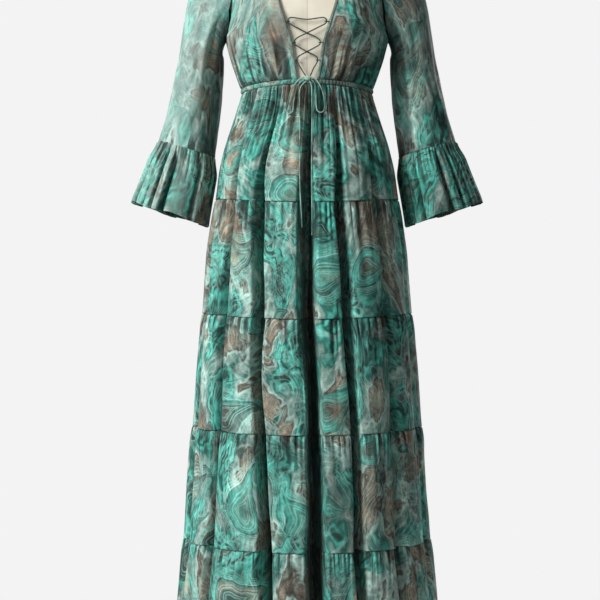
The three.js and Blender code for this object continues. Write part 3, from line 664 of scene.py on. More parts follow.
cords = {
    "diameter": 2.4,
    "sides": 12,
    "twist": 2 * math.pi / 9,  # one turn of the two strands in 9 mm
    "ply": 0.07,  # how far the strands stand out of a round section
    "step": 0.8,
    "roundEnd": 1.4,
    "narrowest": 0.05,  # of the section's square, at an end
}
laceRoute = [
    (-2.6, -107.6, 1167.4), (-6.8, -107.8, 1173), (-12, -109.2, 1181.5), (-17.2, -111.4, 1190),
    (-19.9, -112.7, 1196.5), (-18.4, -113.4, 1202.4), (-12.5, -115, 1206.6), (0, -117.8, 1212.8),
    (17, -119, 1221.6), (23.6, -119.2, 1226.2), (25, -119.4, 1232), (20.4, -119.6, 1238),
    (0, -120.2, 1247.8), (-25, -123.9, 1260.2), (-33.9, -125.2, 1264.9), (-36.4, -125.4, 1267.5),
    (-37.2, -125.5, 1270.6), (-36.3, -125.6, 1273.8), (-33.9, -125.7, 1276.1), (-30.6, -125.8, 1276.9),
    (0, -126, 1273.4), (30.6, -125.8, 1276.9), (33.9, -125.7, 1276.1), (36.3, -125.6, 1273.8),
    (37.2, -125.5, 1270.6), (36.4, -125.4, 1267.5), (33.9, -125.2, 1264.9), (25, -125, 1260.2),
    (0, -123.8, 1247.8), (-20.4, -119.8, 1238), (-25, -119.4, 1232), (-23.6, -119.2, 1226.2),
    (-17, -118.2, 1221.6), (0, -114.3, 1212.8), (12.5, -113.6, 1206.6), (18.4, -113.4, 1202.4),
    (19.9, -112.7, 1196.5), (17.2, -111.4, 1190), (12, -109.2, 1181.5), (8.4, -107.8, 1173),
    (5.6, -107.6, 1167.4),
]
bowLoopLeft = [
    (-5.6, -107.9, 1164.4), (-12.5, -107.9, 1162.5), (-20, -108.2, 1155.5), (-28, -109.2, 1144.5),
    (-33.6, -110.6, 1132), (-36, -112.2, 1120), (-39.2, -113.6, 1110), (-41.2, -114.8, 1102.2),
    (-39.6, -116, 1096.2), (-34.4, -118.6, 1093.4), (-29.1, -119.4, 1096), (-27.2, -118.4, 1102.4),
    (-26.8, -116.4, 1111), (-25.4, -114.2, 1120), (-22.6, -111, 1135), (-18.6, -109, 1147),
    (-12.5, -108.2, 1155.6), (-5.3, -107.9, 1160),
]
bowLoopRight = [
    (8.6, -107.9, 1164.4), (14.5, -107.9, 1162), (20.5, -108.2, 1155.5), (26.4, -109, 1145),
    (30.8, -110.4, 1132), (33.4, -113, 1119), (34, -115.4, 1110), (33.4, -117, 1102.6),
    (30.4, -118.4, 1097.2), (25.4, -119, 1095.2), (20.4, -118.8, 1097.8), (18, -117.6, 1103.6),
    (17.2, -115.4, 1112), (17, -112, 1127), (16.8, -110.2, 1139), (15.4, -108.8, 1149),
    (12.2, -108.2, 1156), (8.3, -107.9, 1160),
]
bowTailLeft = [
    (-1.4, -108, 1157.4), (-7.5, -108.2, 1152), (-12.5, -108.5, 1145.5), (-14.6, -109.2, 1137),
    (-14.8, -112, 1118), (-14.6, -119, 1092), (-14.4, -129, 1062), (-14.4, -138.4, 1030),
    (-14.6, -147.2, 996), (-14.4, -153.2, 966), (-13.6, -158.2, 938), (-12.4, -163.6, 915),
    (-11, -168, 892), (-9.8, -169.4, 871),
]
bowTailRight = [
    (4.3, -108, 1157.8), (7.5, -108.4, 1151), (8.7, -109.4, 1142), (8.8, -111.6, 1130), (9, -115.4, 1112),
    (9.2, -121, 1088), (9, -126.8, 1058), (8.8, -133.2, 1026), (8.6, -139.8, 994), (8.6, -145, 962),
    (8.8, -149.6, 934), (9, -154.4, 908), (9, -158, 882), (8.8, -160.4, 857),
]

def cordPiece(name, route, material):
    line = routeThrough(route, cords["step"])
    along = farAlong(line)
    fromEnd = np.minimum(along, along[-1] - along)
    rounding = np.clip(fromEnd / cords["roundEnd"], 0, 1)
    radii = cords["diameter"] / 2 * np.sqrt(np.clip(1 - (1 - rounding) ** 2, cords["narrowest"], 1))
    rings = ringsAlong(line, radii, cords["sides"], cords["twist"], cords["ply"])
    bm = gridOf(rings, closed=True)
    closeEnds(bm)
    piece = finishPiece(name, bm, material, "cord_cloth")
    print(f"{name}: {along[-1]:.1f} mm")


cordPiece("lace_cord", laceRoute, darkCord)
cordPiece("bow_loop_left", bowLoopLeft, paleCord)
cordPiece("bow_loop_right", bowLoopRight, paleCord)
cordPiece("bow_tail_left", bowTailLeft, paleCord)
cordPiece("bow_tail_right", bowTailRight, paleCord)

knot = {
    "centre": (1.5, -107.9, 1162.5),
    "size": (6.5, 3.6, 4.8),
    "wraps": 3,
    "wrapHeight": 0.12,
    "lean": 0.5,
}


def knotPiece():
    bm = bmesh.new()
    bmesh.ops.create_icosphere(bm, subdivisions=5, radius=1.0)
    cut = bm.loops.layers.uv.new("cut")
    for vert in bm.verts:
        x, y, z = vert.co
        across = x + knot["lean"] * z
        wrap = abs(math.sin(across * math.pi * knot["wraps"] / 2))
        vert.co *= 1 - knot["wrapHeight"] * (1 - wrap) ** 2
        vert.co = Vector([vert.co[i] * knot["size"][i] * mm for i in range(3)]) + Vector(knot["centre"]) * mm
    for face in bm.faces:
        for loop in face.loops:
            loop[cut].uv = (loop.vert.co.x, loop.vert.co.z)
    finishPiece("bow_knot", bm, paleCord, "cord_cloth")


knotPiece()
print("cords made")

# Tables of sizes by height, softened where they bend

def at(table, column, z, soften=None):
    rows = np.array(table["rows"], float)
    rows = rows[np.argsort(rows[:, 0])]
    place = table["columns"].index(column)
    reach = table["soften"] if soften is None else soften
    steps = np.linspace(-reach, reach, 7)
    return np.mean([np.interp(z + step, rows[:, 0], rows[:, place]) for step in steps], axis=0)


def ovalOf(table, z, soften=None):
    return [at(table, name, z, soften) for name in ("halfWidth", "front", "back")]


def onOval(angle, z, halfWidth, front, back):
    turn = np.radians(angle)
    depth = np.where(np.cos(turn) > 0, front, back)
    return np.stack([halfWidth * np.sin(turn), -depth * np.cos(turn), z + 0 * turn], axis=-1)


def lerp(a, b, share):
    return a + (b - a) * share


def smoothstep(value, low, high):
    share = np.clip((np.asarray(value, float) - low) / (high - low), 0, 1)
    return share * share * (3 - 2 * share)


def window(z, bottom, top, part, below=0):
    # 1 in the middle between bottom and top, and less in the part near each of them
    rise, fall = lerp(bottom, top, part), lerp(bottom, top, 1 - part)
    return smoothstep(z, bottom - below, rise) * (1 - smoothstep(z, fall, top))


def frontShare(angle):
    # 1 at the front centre and 0 from the sides to the back
    return np.maximum(0, np.cos(np.radians(angle))) ** 2


def turnedFrom(angle, place):
    return (angle - place + 180) % 360 - 180


def drift(values, seed, waves=5, longest=1.0):
    # A smooth uneven line from -1 to 1, the same each run
    random = np.random.default_rng(seed)
    total = np.zeros_like(np.asarray(values, float))
    for k in range(waves):
        length = longest / (k + 1) * random.uniform(0.8, 1.25)
        total += np.sin(2 * np.pi * (np.asarray(values) / length + random.random())) / (k + 1)
    return total / 1.6


gatherShape = {
    "stray": 0.45,  # how far a fold strays from its even place, in folds
    "sharpness": 0.36,
    "rounding": 0.008,  # of the valley between two folds
    "fade": 1.5,
}


def gathers(arc, down, gather, seed, sunk=False):
    # Small uneven folds that fade with the distance down from their seam. They rise by depth, or sink by it.
    pitch = gather["pitch"]
    seed = seed + gather["seed"]
    phase = arc / pitch + gatherShape["stray"] * drift(arc, seed, 4, pitch * 9)
    crest = (np.sin(np.pi * phase) ** 2 + gatherShape["rounding"]) ** gatherShape["sharpness"]
    reach = lerp(*gather["lengths"], 0.5 + 0.5 * drift(arc, seed + 1, 5, pitch * 5))
    strength = gather["depth"] * (0.8 + 0.35 * drift(arc, seed + 2, 4, pitch * 6))
    return (crest - sunk) * strength * np.exp(-np.clip(down / reach, 0, None) ** gatherShape["fade"])


form = {
    "columns": ("z", "halfWidth", "front", "back"),
    "rows": [
        (770, 150, 98, 112), (870, 162, 104, 122), (940, 156, 100, 115), (1010, 138, 92, 99),
        (1070, 123, 88, 87), (1110, 122, 90, 85), (1150, 126, 96, 88), (1200, 137, 106, 94),
        (1250, 148, 114, 102), (1290, 152, 115, 107), (1340, 157, 104, 109), (1390, 166, 86, 104),
        (1425, 171, 72, 95), (1442, 165, 65, 87), (1458, 145, 60, 80), (1474, 115, 57, 74),
        (1490, 84, 55, 68), (1508, 64, 53, 62), (1540, 56, 51, 58), (1570, 54, 50, 56),
    ],
    "soften": 5,
    "bust": {"z": 1272, "angle": 29, "rise": 15, "heightSpread": 44, "angleSpread": 17},
    "foot": 770,
    "gap": 0.4,
    "points": 128,
    "rounding": 5,  # of the lower edge, over this many mm of height
    "roundHeight": 7,
    "seam": {"halfWidth": 1.6, "depth": 0.5},
}


# Skirt

skirt = {
    "columns": ("z", "halfWidth", "front", "back", "fold", "drop"),
    "rows": [
        (1146, 131, 102, 94, 0, -8), (1090, 149, 118, 112, 5, -2), (1040, 166, 135, 130, 11, 4),
        (994, 177, 149, 144, 17, 9), (934, 184, 161, 157, 21, 13), (910, 190, 167, 163, 24, 13),
        (832, 202, 178, 174, 27, 12), (708, 210, 188, 185, 29, 10), (684, 216, 194, 191, 32, 10),
        (590, 224, 202, 199, 34, 7), (484, 230, 209, 206, 35, 4), (460, 236, 215, 212, 38, 4),
        (370, 242, 221, 218, 39, 2), (262, 247, 227, 224, 39, 0), (238, 253, 232, 229, 41, 0),
        (150, 261, 239, 236, 43, 0), (40, 268, 246, 243, 45, 0),
    ],
    "soften": 14,
    # each valley between two columns: angle, depth beside the others, half-width in mm, lean in degrees
    "valleys": [
        (2.5, 1.1, 20, -2.6), (23.4, 1.0, 13, -1.5), (48.1, 0.6, 12, 1), (74, 0.5, 15, 0),
        (101, 0.7, 12, 1), (127, 0.95, 14, -1), (151, 0.7, 12, 1), (178, 1.0, 14, 2), (203, 0.75, 12, -1),
        (230, 0.95, 14, 1), (257, 0.7, 12, 0), (284, 0.5, 15, 0), (308.3, 0.6, 12, -1), (336, 1.1, 14, -7),
    ],
    "seams": [934, 708, 484, 262],
    "hem": 40,
    "waist": 1145.7,
    "deeper": 2.3,  # valleys of the cloth beside those of the plain walls
    "clear": 3.4,  # of the dress form inside
    "ripple": 1.0,
    "sway": {"reach": 1.1, "length": 700, "leanFrom": 500, "leanOver": 400},
    "steady": (1140, 200),  # where the sway starts, and over how much height it grows
    "narrowOver": 260,  # below the waist, where valleys start at half their width
    "uneven": 0.2,  # width of a valley on its way down
    "floorShare": 0.15,  # of a valley's half-width, at its foot
    "pinch": 0.085,
    "crown": 0.18,  # how far a column rounds off, as a share of the depth beside it
    "pointsPerColumn": 64,
    "blend": 12,  # points before the start over which the gathers meet themselves
    "tuck": 3.0,  # how far a tier's top goes up behind the one above it
    "tuckIn": 2.6,
    "darkAt": 45,  # depth of a fold at which the painted shade at its foot is darkest
    # Painted shade in the grooves of the gathers: the depth at which it is darkest, and how dark it gets
    "gatherDarkAt": 13,
    "gatherDarkest": 0.85,
}
# Creases, all round: angle, top, bottom, half-width in degrees, depth
creases = [
    (12, 690, 560, 3.0, 3.0), (16, 470, 330, 3.4, 3.4), (9, 900, 790, 2.6, 2.4), (34, 930, 720, 3.2, 3.2),
    (38, 480, 300, 3.6, 4.0), (60, 700, 520, 4.0, 4.0), (57, 260, 60, 3.4, 3.0), (63, 920, 760, 3.2, 3.0),
    (86, 480, 290, 4.2, 4.2), (90, 930, 730, 3.6, 3.4), (112, 700, 510, 3.8, 4.0),
    (118, 255, 50, 3.4, 3.4), (139, 480, 280, 3.8, 4.0), (141, 930, 740, 3.2, 3.0),
    (164, 700, 500, 3.8, 3.8), (167, 250, 70, 3.2, 3.0), (190, 930, 720, 3.2, 3.4),
    (192, 470, 290, 3.6, 3.8), (216, 700, 520, 4.0, 4.0), (219, 250, 60, 3.4, 3.0),
    (243, 480, 300, 3.8, 4.0), (245, 920, 760, 3.4, 3.0), (270, 700, 490, 4.2, 4.4),
    (272, 250, 60, 3.6, 3.2), (296, 480, 280, 3.8, 4.0), (297, 930, 730, 3.2, 3.2),
    (322, 700, 520, 3.8, 4.0), (325, 460, 320, 3.0, 2.8), (349, 480, 350, 3.2, 3.0),
    (345, 690, 540, 3.4, 3.2), (352, 250, 90, 3.0, 3.0), (30, 255, 60, 3.0, 2.8),
]
waistGathers = {
    "pitch": 12.5, "lengths": (50, 170), "depth": 7, "seed": 5, "pull": 60,
    "second": {"pitch": 27, "lengths": (110, 210), "depth": 11, "seed": 90},
}
lowerGathers = {
    "pitch": 13, "lengths": (22, 72), "depth": 6.4, "seed": 11, "pull": 32,
    "second": {"pitch": 33, "lengths": (60, 170), "depth": 6, "seed": 90},
}
tierPrints = [(0.0, 0.0), (3.1, 0.7), (6.4, 1.9), (9.2, 0.4), (12.7, 1.3)]


def valleysAt(angle, z, turned, bounds, column):
    # How far the valleys on both sides of each column reach in, with the depth that they come from
    fold = at(skirt, "fold", z) * skirt["deeper"]
    turn = np.radians(angle)
    reach = np.hypot(at(skirt, "halfWidth", z) * np.cos(turn), at(skirt, "front", z) * np.sin(turn))
    narrow = 0.5 + 0.5 * smoothstep(skirt["rows"][0][0] - z, 0, skirt["narrowOver"])
    inwards = 0
    for valley in (column, column + 1):
        depth, halfWidth = bounds[valley, 1], bounds[valley, 2]
        width = halfWidth * narrow * (1 + skirt["uneven"] * drift(z, 55, 3, 500))
        away = np.abs(np.radians(angle - turned[:, valley])) * reach / width
        inwards = inwards + fold * depth * (1 - smoothstep(away, skirt["floorShare"], 1))
    return inwards, fold


def swayAt(z, bounds):
    # How far each valley stands aside from its angle, in degrees: it drifts and leans, less near the waist
    count, sway, (start, over) = len(skirt["valleys"]), skirt["sway"], skirt["steady"]
    drifts = [drift(z[:, 0], 40 + k % count, 3, sway["length"]) for k in range(count + 1)]
    lean = (z - sway["leanFrom"]) / sway["leanOver"] * bounds[None, :, 3]
    return (sway["reach"] * np.array(drifts).T + lean) * smoothstep(start - z, 0, over)


def skirtSurface(down, top, gather, tier):
    # down has a value for each row. Points run once round, from the first valley.
    per, count = skirt["pointsPerColumn"], len(skirt["valleys"])
    bounds = np.array(skirt["valleys"] + skirt["valleys"][:1], float)
    bounds[-1, 0] += 360
    place = np.arange(count * per + 1)
    column = np.minimum(place // per, count - 1)
    share = (place - column * per) / per
    down = down[:, None]
    z = top - down
    turned = bounds[:, 0] + swayAt(z, bounds)
    leant = share - skirt["pinch"] * np.sin(2 * np.pi * share)
    angle = lerp(turned[:, column], turned[:, column + 1], leant)
    inwards, fold = valleysAt(angle, z, turned, bounds, column)
    sizes = ovalOf(skirt, z)
    outer, inner = [np.linalg.norm(onOval(angle, z, *each)[..., :2], axis=2)
                    for each in (sizes, ovalOf(form, np.maximum(z, form["foot"])))]
    room = outer - inner - skirt["clear"] + 200 * smoothstep(form["foot"] - z, 5, 60)  # free below the form
    # Painted shade at the foot of each valley, by how deep it is
    valley = np.clip(np.minimum(inwards, room) / skirt["darkAt"], 0, 1)
    inwards = inwards + skirt["crown"] * fold * (1 - np.sin(np.pi * share))
    for middle, high, low, width, deep in creases:
        crease = np.exp(-(turnedFrom(angle, middle) / width) ** 2)
        inwards = inwards + deep * crease * window(z, low, high, 0.4)
    ripple = skirt["ripple"] * drift(angle + 0.02 * z, 71 + tier, 5, 60) * smoothstep(down, 10, 60)
    plain = onOval(angle, z, *[size - inwards for size in sizes])
    arc = farAlong(plain[len(plain) // 2])
    arc = arc * (round(arc[-1] / gather["pitch"]) * gather["pitch"] / arc[-1])
    wave = gathers(arc, down, gather, tier, sunk=True) * smoothstep(down, -2.5, 5)
    wave = wave + gathers(arc, down, gather["second"], tier, sunk=True) * smoothstep(down, 0, 40)
    meeting = smoothstep(place, count * per - skirt["blend"], count * per)
    wave, ripple = [lerp(values, values[:, :1], meeting) for values in (wave, ripple)]
    # Painted shade in the grooves of the gathers below each seam
    valley = np.maximum(valley, np.clip(-wave / skirt["gatherDarkAt"], 0, skirt["gatherDarkest"]))
    tucked = skirt["tuckIn"] * (1 - smoothstep(down, 0, 5))
    inwards = np.minimum(inwards + tucked + skirt["ripple"] - ripple - wave, room)
    points = onOval(angle, z, *[size - inwards for size in sizes])
    points[..., 2] -= at(skirt, "drop", z) * frontShare(angle)
    points[:, -1] = points[:, 0]
    return points, valley


def tierRows(height):
    near = [-skirt["tuck"], -1.5, 0, 1.5, 3.5, 6, 9, 13, 18, 24, 31, 39, 48]
    end = [height - 5, height - 2.5, height]
    middle = np.linspace(near[-1], end[0], 13)[1:-1]
    return np.concatenate([near, middle, end])[::-1]


def skirtTiers():
    tops = [skirt["waist"]] + skirt["seams"]
    bottoms = skirt["seams"] + [skirt["hem"]]
    above = "waist_casing"
    for i, (top, bottom) in enumerate(zip(tops, bottoms)):
        down = tierRows(top - bottom)
        gather = lowerGathers if i else waistGathers
        points, valley = skirtSurface(down, top, gather, i)
        hemmed = (top - bottom) - down if bottom == skirt["hem"] else None
        name = f"skirt_tier_{i + 1}"
        pulled = np.exp(-np.clip(down, 0, None) / gather["pull"])[:, None]
        clothPiece(name, points, tierPrints[i], above, closed=True, edges=hemmed, gathered=pulled,
                   valley=valley)
        above = name


skirtTiers()
print("skirt made")


# Waist casing: a band padded by its drawstring, puckered all round

casing = {
    "z": 1150,
    "halfHeight": 4.8,
    "out": 2.6,
    "back": 1.4,
    "rise": 8,
    "puckers": 120,
    "pucker": 0.7,
    "points": 600,
    "wall": 0.7,
    "print": (1.7, 3.3),
}


def waistCasing():
    turn = np.radians(np.linspace(-115, 115, 11))[:, None]
    angle = np.linspace(0, 360, casing["points"] + 1)[None, :]
    uneven = casing["puckers"] * np.radians(angle) + 0.8 * np.sin(np.radians(angle) * 9)
    out = casing["out"] * np.cos(turn) - casing["back"] + casing["pucker"] * np.cos(uneven) * np.cos(turn)
    z = casing["z"] + casing["halfHeight"] * np.sin(turn) + casing["rise"] * frontShare(angle)
    points = onOval(angle, z, *[size + out for size in ovalOf(skirt, casing["z"], 2)])
    points[:, -1] = points[:, 0]
    clothPiece("waist_casing", points, casing["print"], "form_torso", closed=True, bound=casing["wall"])


waistCasing()


# Dress form

def onForm(angle, z, off=0.0):
    bust = form["bust"]
    aside = (np.abs(turnedFrom(angle, 0)) - bust["angle"]) / bust["angleSpread"]
    rise = bust["rise"] * np.exp(-aside ** 2 - ((z - bust["z"]) / bust["heightSpread"]) ** 2)
    return onOval(angle, z, *[size + rise + off for size in ovalOf(form, z)])


def dressForm():
    foot, high = form["foot"], form["roundHeight"]
    low = [foot, foot + 0.4, foot + 1.5, foot + 3.5, foot + high]
    z = np.concatenate([low, np.linspace(784, 1420, 60), np.linspace(1424, 1570, 48)])
    angle = np.linspace(0, 360, form["points"] + 1)
    rounded = 1 - np.sqrt(np.clip(1 - (1 - (z - foot) / high) ** 2, 0, 1))
    inset = -form["rounding"] * rounded * (z < foot + high)
    points = onForm(angle[None, :], z[:, None], inset[:, None])
    # The centre seams sink into the padding
    seam = form["seam"]["depth"] * np.exp(-((points[..., 0] / form["seam"]["halfWidth"]) ** 2))
    points[..., 1] += np.where(points[..., 1] < 0, seam, -seam)
    bm = gridOf(points, closed=True)
    closeEnds(bm)
    finishPiece("form_torso", bm, formLinen, "form_linen")


def turnedPiece(name, profile, centre, material, slot, steps=72):
    # A profile of (radius, height) spun round a vertical axis
    bm = bmesh.new()
    verts = [bm.verts.new(Vector((centre[0] + r, centre[1], z)) * mm) for r, z in profile]
    edges = [bm.edges.new(pair) for pair in zip(verts[:-1], verts[1:])]
    bmesh.ops.spin(bm, geom=verts + edges, cent=Vector((centre[0], centre[1], 0)) * mm, axis=(0, 0, 1),
                   angle=2 * math.pi, steps=steps, use_merge=True)
    bmesh.ops.remove_doubles(bm, verts=bm.verts, dist=1e-6)
    bmesh.ops.recalc_face_normals(bm, faces=bm.faces)
    finishPiece(name, bm, material, slot)


def arcPoints(centreR, centreZ, radius, start, end, count=6):
    turns = np.radians(np.linspace(start, end, count))
    return [(centreR + radius * math.cos(t), centreZ + radius * math.sin(t)) for t in turns]


dressForm()
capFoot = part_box("neck_cap")[0].z / mm
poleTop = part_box("stand_pole")[1].z / mm
capProfile = [
    (0, capFoot), (53, capFoot), *arcPoints(50, capFoot + 7, 8, -60, 40),
    *arcPoints(33, capFoot + 6, 10, 70, 90), (0, capFoot + 16),
]
baseProfile = [
    (0, 0), (183, 0), *arcPoints(182, 3, 3, -60, 0, 4), *arcPoints(179, 8, 6, 0, 80, 5),
    (34, 15.5), (32, 17), *arcPoints(28, 26, 4, 0, 90, 5), (0, 30),
]
poleProfile = [(0, 30.3), (14, 30.3), (14, poleTop), (0, poleTop)]
turnedPiece("neck_cap", capProfile, (0, 3), capWood, "cap_wood")
turnedPiece("stand_pole", poleProfile, (0, 0), standMetal, "stand_metal")
turnedPiece("stand_base", baseProfile, (0, 0), standMetal, "stand_metal", 96)
print("form and stand made")


# Bodice: each panel is a patch between four edges, in angle and height, laid over the form

bodice = {
    "columns": ("z", "side", "centre"),
    "rows": [
        (1150, 3.2, 3.2), (1178, 7.5, 4.5), (1210, 11.5, 4.5), (1250, 12.5, 4), (1300, 10.5, 4),
        (1350, 7, 3.6), (1400, 5.5, 4.5), (1442, 6.5, 5.5), (1500, 5, 4.5),
    ],
    "soften": 8,
    "wall": 1.5,
    "foot": 1154.3,
    "rise": 8,
    "underarm": 1248,
    "shoulder": 1442,
    "neckPoint": 1490,
    "backNeck": 1476,
    "sideSeam": 0.1,  # degrees from each panel's edge to the seam
    "sideShare": 0.36,
    "backShoulder": 0.2,
    "seat": {"z": 1462, "blend": 10, "sharpness": 40},
    "height": 320,
    "pull": 55,
    # Painted shade in the grooves of the gathers: the depth at which it is darkest, and how dark it gets
    "darkAt": 11,
    "darkest": 0.8,
    "rightPaintedShade": 0.7,
    "leftPaintedLight": 0.22,
    "gathers": [
        {"pitch": 11.5, "lengths": (26, 90), "depth": 3.8, "seed": 0},
        {"pitch": 23, "lengths": (90, 200), "depth": 6.0, "seed": 7},
    ],
}
neckline = {
    "columns": ("z", "halfOpening"),
    "rows": [(1162, 18.5), (1197, 24.3), (1230, 28.5), (1270, 38.5), (1313, 52), (1380, 66), (1430, 76),
             (1468, 83), (1490, 90)],
    "soften": 8,
}
armhole = {
    "columns": ("z", "cut"),
    "rows": [(1248, 0), (1262, 15), (1290, 24), (1335, 28), (1385, 24), (1422, 14), (1442, 0)],
    "soften": 0,
}
frontSeam, backSeam = 90 - bodice["sideSeam"], 90 + bodice["sideSeam"]


def ease(angle, z):
    side = np.abs(np.sin(np.radians(angle)))
    loose = lerp(at(bodice, "centre", z), at(bodice, "side", z), side ** 2)
    seat = bodice["seat"]
    onSeam = side ** seat["sharpness"] * smoothstep(z, seat["z"], seat["z"] + seat["blend"])
    return lerp(loose, form["gap"], onSeam)


def sideEdge(share, way):
    part = bodice["sideShare"]
    below = lerp(bodice["foot"], bodice["underarm"], share / part)
    above = lerp(bodice["underarm"], bodice["shoulder"], (share - part) / (1 - part))
    z = np.where(share <= part, below, above)
    return np.stack([90 + way * (bodice["sideSeam"] + at(armhole, "cut", z)), z])


def neckEdge(share):
    z = lerp(bodice["foot"] + bodice["rise"], bodice["neckPoint"], share)
    reach = at(form, "halfWidth", z) + form["gap"]
    angle = np.degrees(np.arcsin(np.clip(at(neckline, "halfOpening", z) / reach, 0, 1)))
    return np.stack([np.minimum(angle, frontSeam), z])


def frontBottom(s):
    angle = lerp(neckEdge(0 * s)[0], frontSeam, s)
    return np.stack([angle, bodice["foot"] + bodice["rise"] * frontShare(angle)])


def frontTop(s):
    return np.stack([frontSeam + 0 * s, lerp(bodice["neckPoint"], bodice["shoulder"], s)])


def backBottom(s):
    return np.stack([lerp(backSeam, 360 - backSeam, s), bodice["foot"] + 0 * s])


def backTop(s):
    share = np.minimum(s, 1 - s) / bodice["backShoulder"]
    across = np.clip((s - bodice["backShoulder"]) / (1 - 2 * bodice["backShoulder"]), 0, 1)
    onShoulder = share <= 1
    angle = lerp(backSeam, 360 - backSeam, across)  # across is 0 or 1 on the shoulders
    z = np.where(onShoulder, lerp(bodice["shoulder"], bodice["neckPoint"], share),
                 lerp(bodice["neckPoint"], bodice["backNeck"], np.sin(np.pi * across)))
    return np.stack([angle, z])


def frontSide(t):
    return sideEdge(t, -1)


def backStart(t):
    return sideEdge(t, 1)


def backEnd(t):
    angle, z = sideEdge(t, 1)
    return np.stack([360 - angle, z])


def patch(s, t, bottom, top, start, end):
    low, high = bottom(s)[:, None, :], top(s)[:, None, :]
    first, last = start(t)[:, :, None], end(t)[:, :, None]
    s, t = s[None, None, :], t[None, :, None]
    flat = low * (1 - t) + high * t + first * (1 - s) + last * s
    for row, share in ((low, 1 - t), (high, t)):
        flat -= (row[..., :1] * (1 - s) + row[..., -1:] * s) * share
    return flat


def bodicePanel(s, t, edges, gathered, seed):
    angle, z = patch(s, t, *edges)
    off = ease(angle, z) + bodice["wall"]
    plain = onForm(angle, z, off)
    up = summed(stepsOf(plain).mean(axis=1))[:, None]
    arc = farAlong(plain[0])
    start, end = gathered
    here = smoothstep(s, start, start + 0.08) * (1 - smoothstep(s, end - 0.1, end))
    wave, between = [sum(gathers(arc, up, gather, seed, sunk) for gather in bodice["gathers"])
                     for sunk in (False, True)]
    # Painted shade in the grooves of the gathers
    valley = np.clip(-between * here / bodice["darkAt"], 0, bodice["darkest"])
    wave = wave * (1 - 0.6 * smoothstep(np.abs(np.sin(np.radians(angle))), 0.75, 1))
    wave = wave * here * smoothstep(up, -2, 5) * (0.4 + 0.6 * smoothstep(up, 0, 16))
    soft = drift(arc + 0.35 * up, seed + 3, 4, 120) * smoothstep(up, 30, 90)
    free = smoothstep(np.minimum(s, 1 - s), 0, 0.12) * (1 - smoothstep(t, 0.85, 0.98))[:, None]
    tuck = 1.6 * (1 - smoothstep(up, 0, 4))
    return onForm(angle, z, off + wave + (soft + 0.8) * free - tuck), valley


def mirroredPoints(points):
    return (points * np.array([-1, 1, 1]))[:, ::-1]


panelRows = np.sort(np.append(np.linspace(0, 1, 96) ** 1.25, bodice["sideShare"]))
frontEdges = (frontBottom, frontTop, neckEdge, frontSide)
backEdges = (backBottom, backTop, backStart, backEnd)
frontPoints, frontPaintedShade = bodicePanel(np.linspace(0, 1, 121), panelRows, frontEdges, (0.06, 0.9), 300)
backPoints, backPaintedShade = bodicePanel(np.linspace(0, 1, 181), panelRows, backEdges, (0.08, 0.92), 320)
bodicePull = np.exp(-panelRows * bodice["height"] / bodice["pull"])[:, None]
# The painted shade in the folds of the right front is fainter, and the left front is painted paler as a
# whole, as if lit
clothPiece("bodice_front_right", frontPoints, (15.1, 0.2), "form_torso", gathered=bodicePull,
           valley=frontPaintedShade * bodice["rightPaintedShade"])
clothPiece("bodice_front_left", mirroredPoints(frontPoints), (17.9, 0.9), "form_torso", gathered=bodicePull,
           valley=(frontPaintedShade - bodice["leftPaintedLight"])[:, ::-1])
clothPiece("bodice_back", backPoints, (20.3, 0.5), "form_torso", gathered=bodicePull, valley=backPaintedShade,
           edges=(1 - panelRows) * bodice["height"])

# Neck binding: folded over the edge of each front. Its profile is how far onto the panel and off its face.
binding = {
    "profile": [(4.6, 0.2), (4.4, 0.8), (3.4, 1.15), (2.0, 1.2), (0.6, 1.1), (-0.4, 0.7), (-0.9, 0.0),
                (-0.6, -0.7), (0.3, -1.15), (2.2, -1.25), (3.8, -1.2)],
    "pucker": 0.18,
    "points": 260,
    "wall": 0.4,
}


def unit(vectors):
    return vectors / np.linalg.norm(vectors, axis=-1)[..., None]


def along(line, where, count):
    # The line's points at count even steps of the places in where
    steps = np.linspace(where[0], where[-1], count)
    return np.stack([np.interp(steps, where, line[:, i]) for i in range(3)], axis=1)


def neckBinding():
    edge, beside = frontPoints[:, 0], frontPoints[:, 4]
    up = unit(np.gradient(edge, axis=0))
    onto = beside - edge
    onto = unit(onto - up * (onto * up).sum(axis=1)[:, None])
    off = np.cross(onto, up)
    off *= np.sign(-off[:, 1:2])
    edge, onto, off = [along(line, np.arange(len(line)), binding["points"]) for line in (edge, onto, off)]
    pucker = binding["pucker"] * drift(farAlong(edge), 510, 6, 30)
    strips = [edge + onto * a + off * (b + np.sign(b) * pucker)[:, None] for a, b in binding["profile"]]
    points = np.stack(strips[::-1], axis=1)
    for side, band, start in (("right", points, (23.2, 0.1)), ("left", mirroredPoints(points), (24.4, 0.6))):
        clothPiece(f"neck_band_{side}", band, start, f"bodice_front_{side}", "stretched",
                   bound=binding["wall"])


neckBinding()

laceLoop = {"heights": [1197, 1230, 1269.6], "reach": 3.6, "halfDepth": 2.9, "tube": 0.75, "points": 32}


def laceLoops():
    turn = np.linspace(0, 2 * np.pi, laceLoop["points"] + 1)[:-1]
    tube = np.full(laceLoop["points"], laceLoop["tube"])
    for i, height in enumerate(laceLoop["heights"]):
        low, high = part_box(f"lace_loop_right_{i + 1}")
        centre = (low + high) / 2 / mm
        for side, sign in (("right", 1), ("left", -1)):
            x = sign * centre.x + laceLoop["reach"] * np.cos(turn)
            y = centre.y + laceLoop["halfDepth"] * np.sin(turn)
            rings = ringsAlong(np.stack([x, y, height + 0 * turn], axis=1), tube, 10, closed=True)
            bm = gridOf(np.concatenate([rings, rings[:1]]), closed=True)
            bmesh.ops.recalc_face_normals(bm, faces=bm.faces)
            finishPiece(f"lace_loop_{side}_{i + 1}", bm, darkCord, "cord_cloth")


laceLoops()
print("bodice and lacing made")


# Sleeves: rings along a bent arm line, below a cap that bows out from the armhole

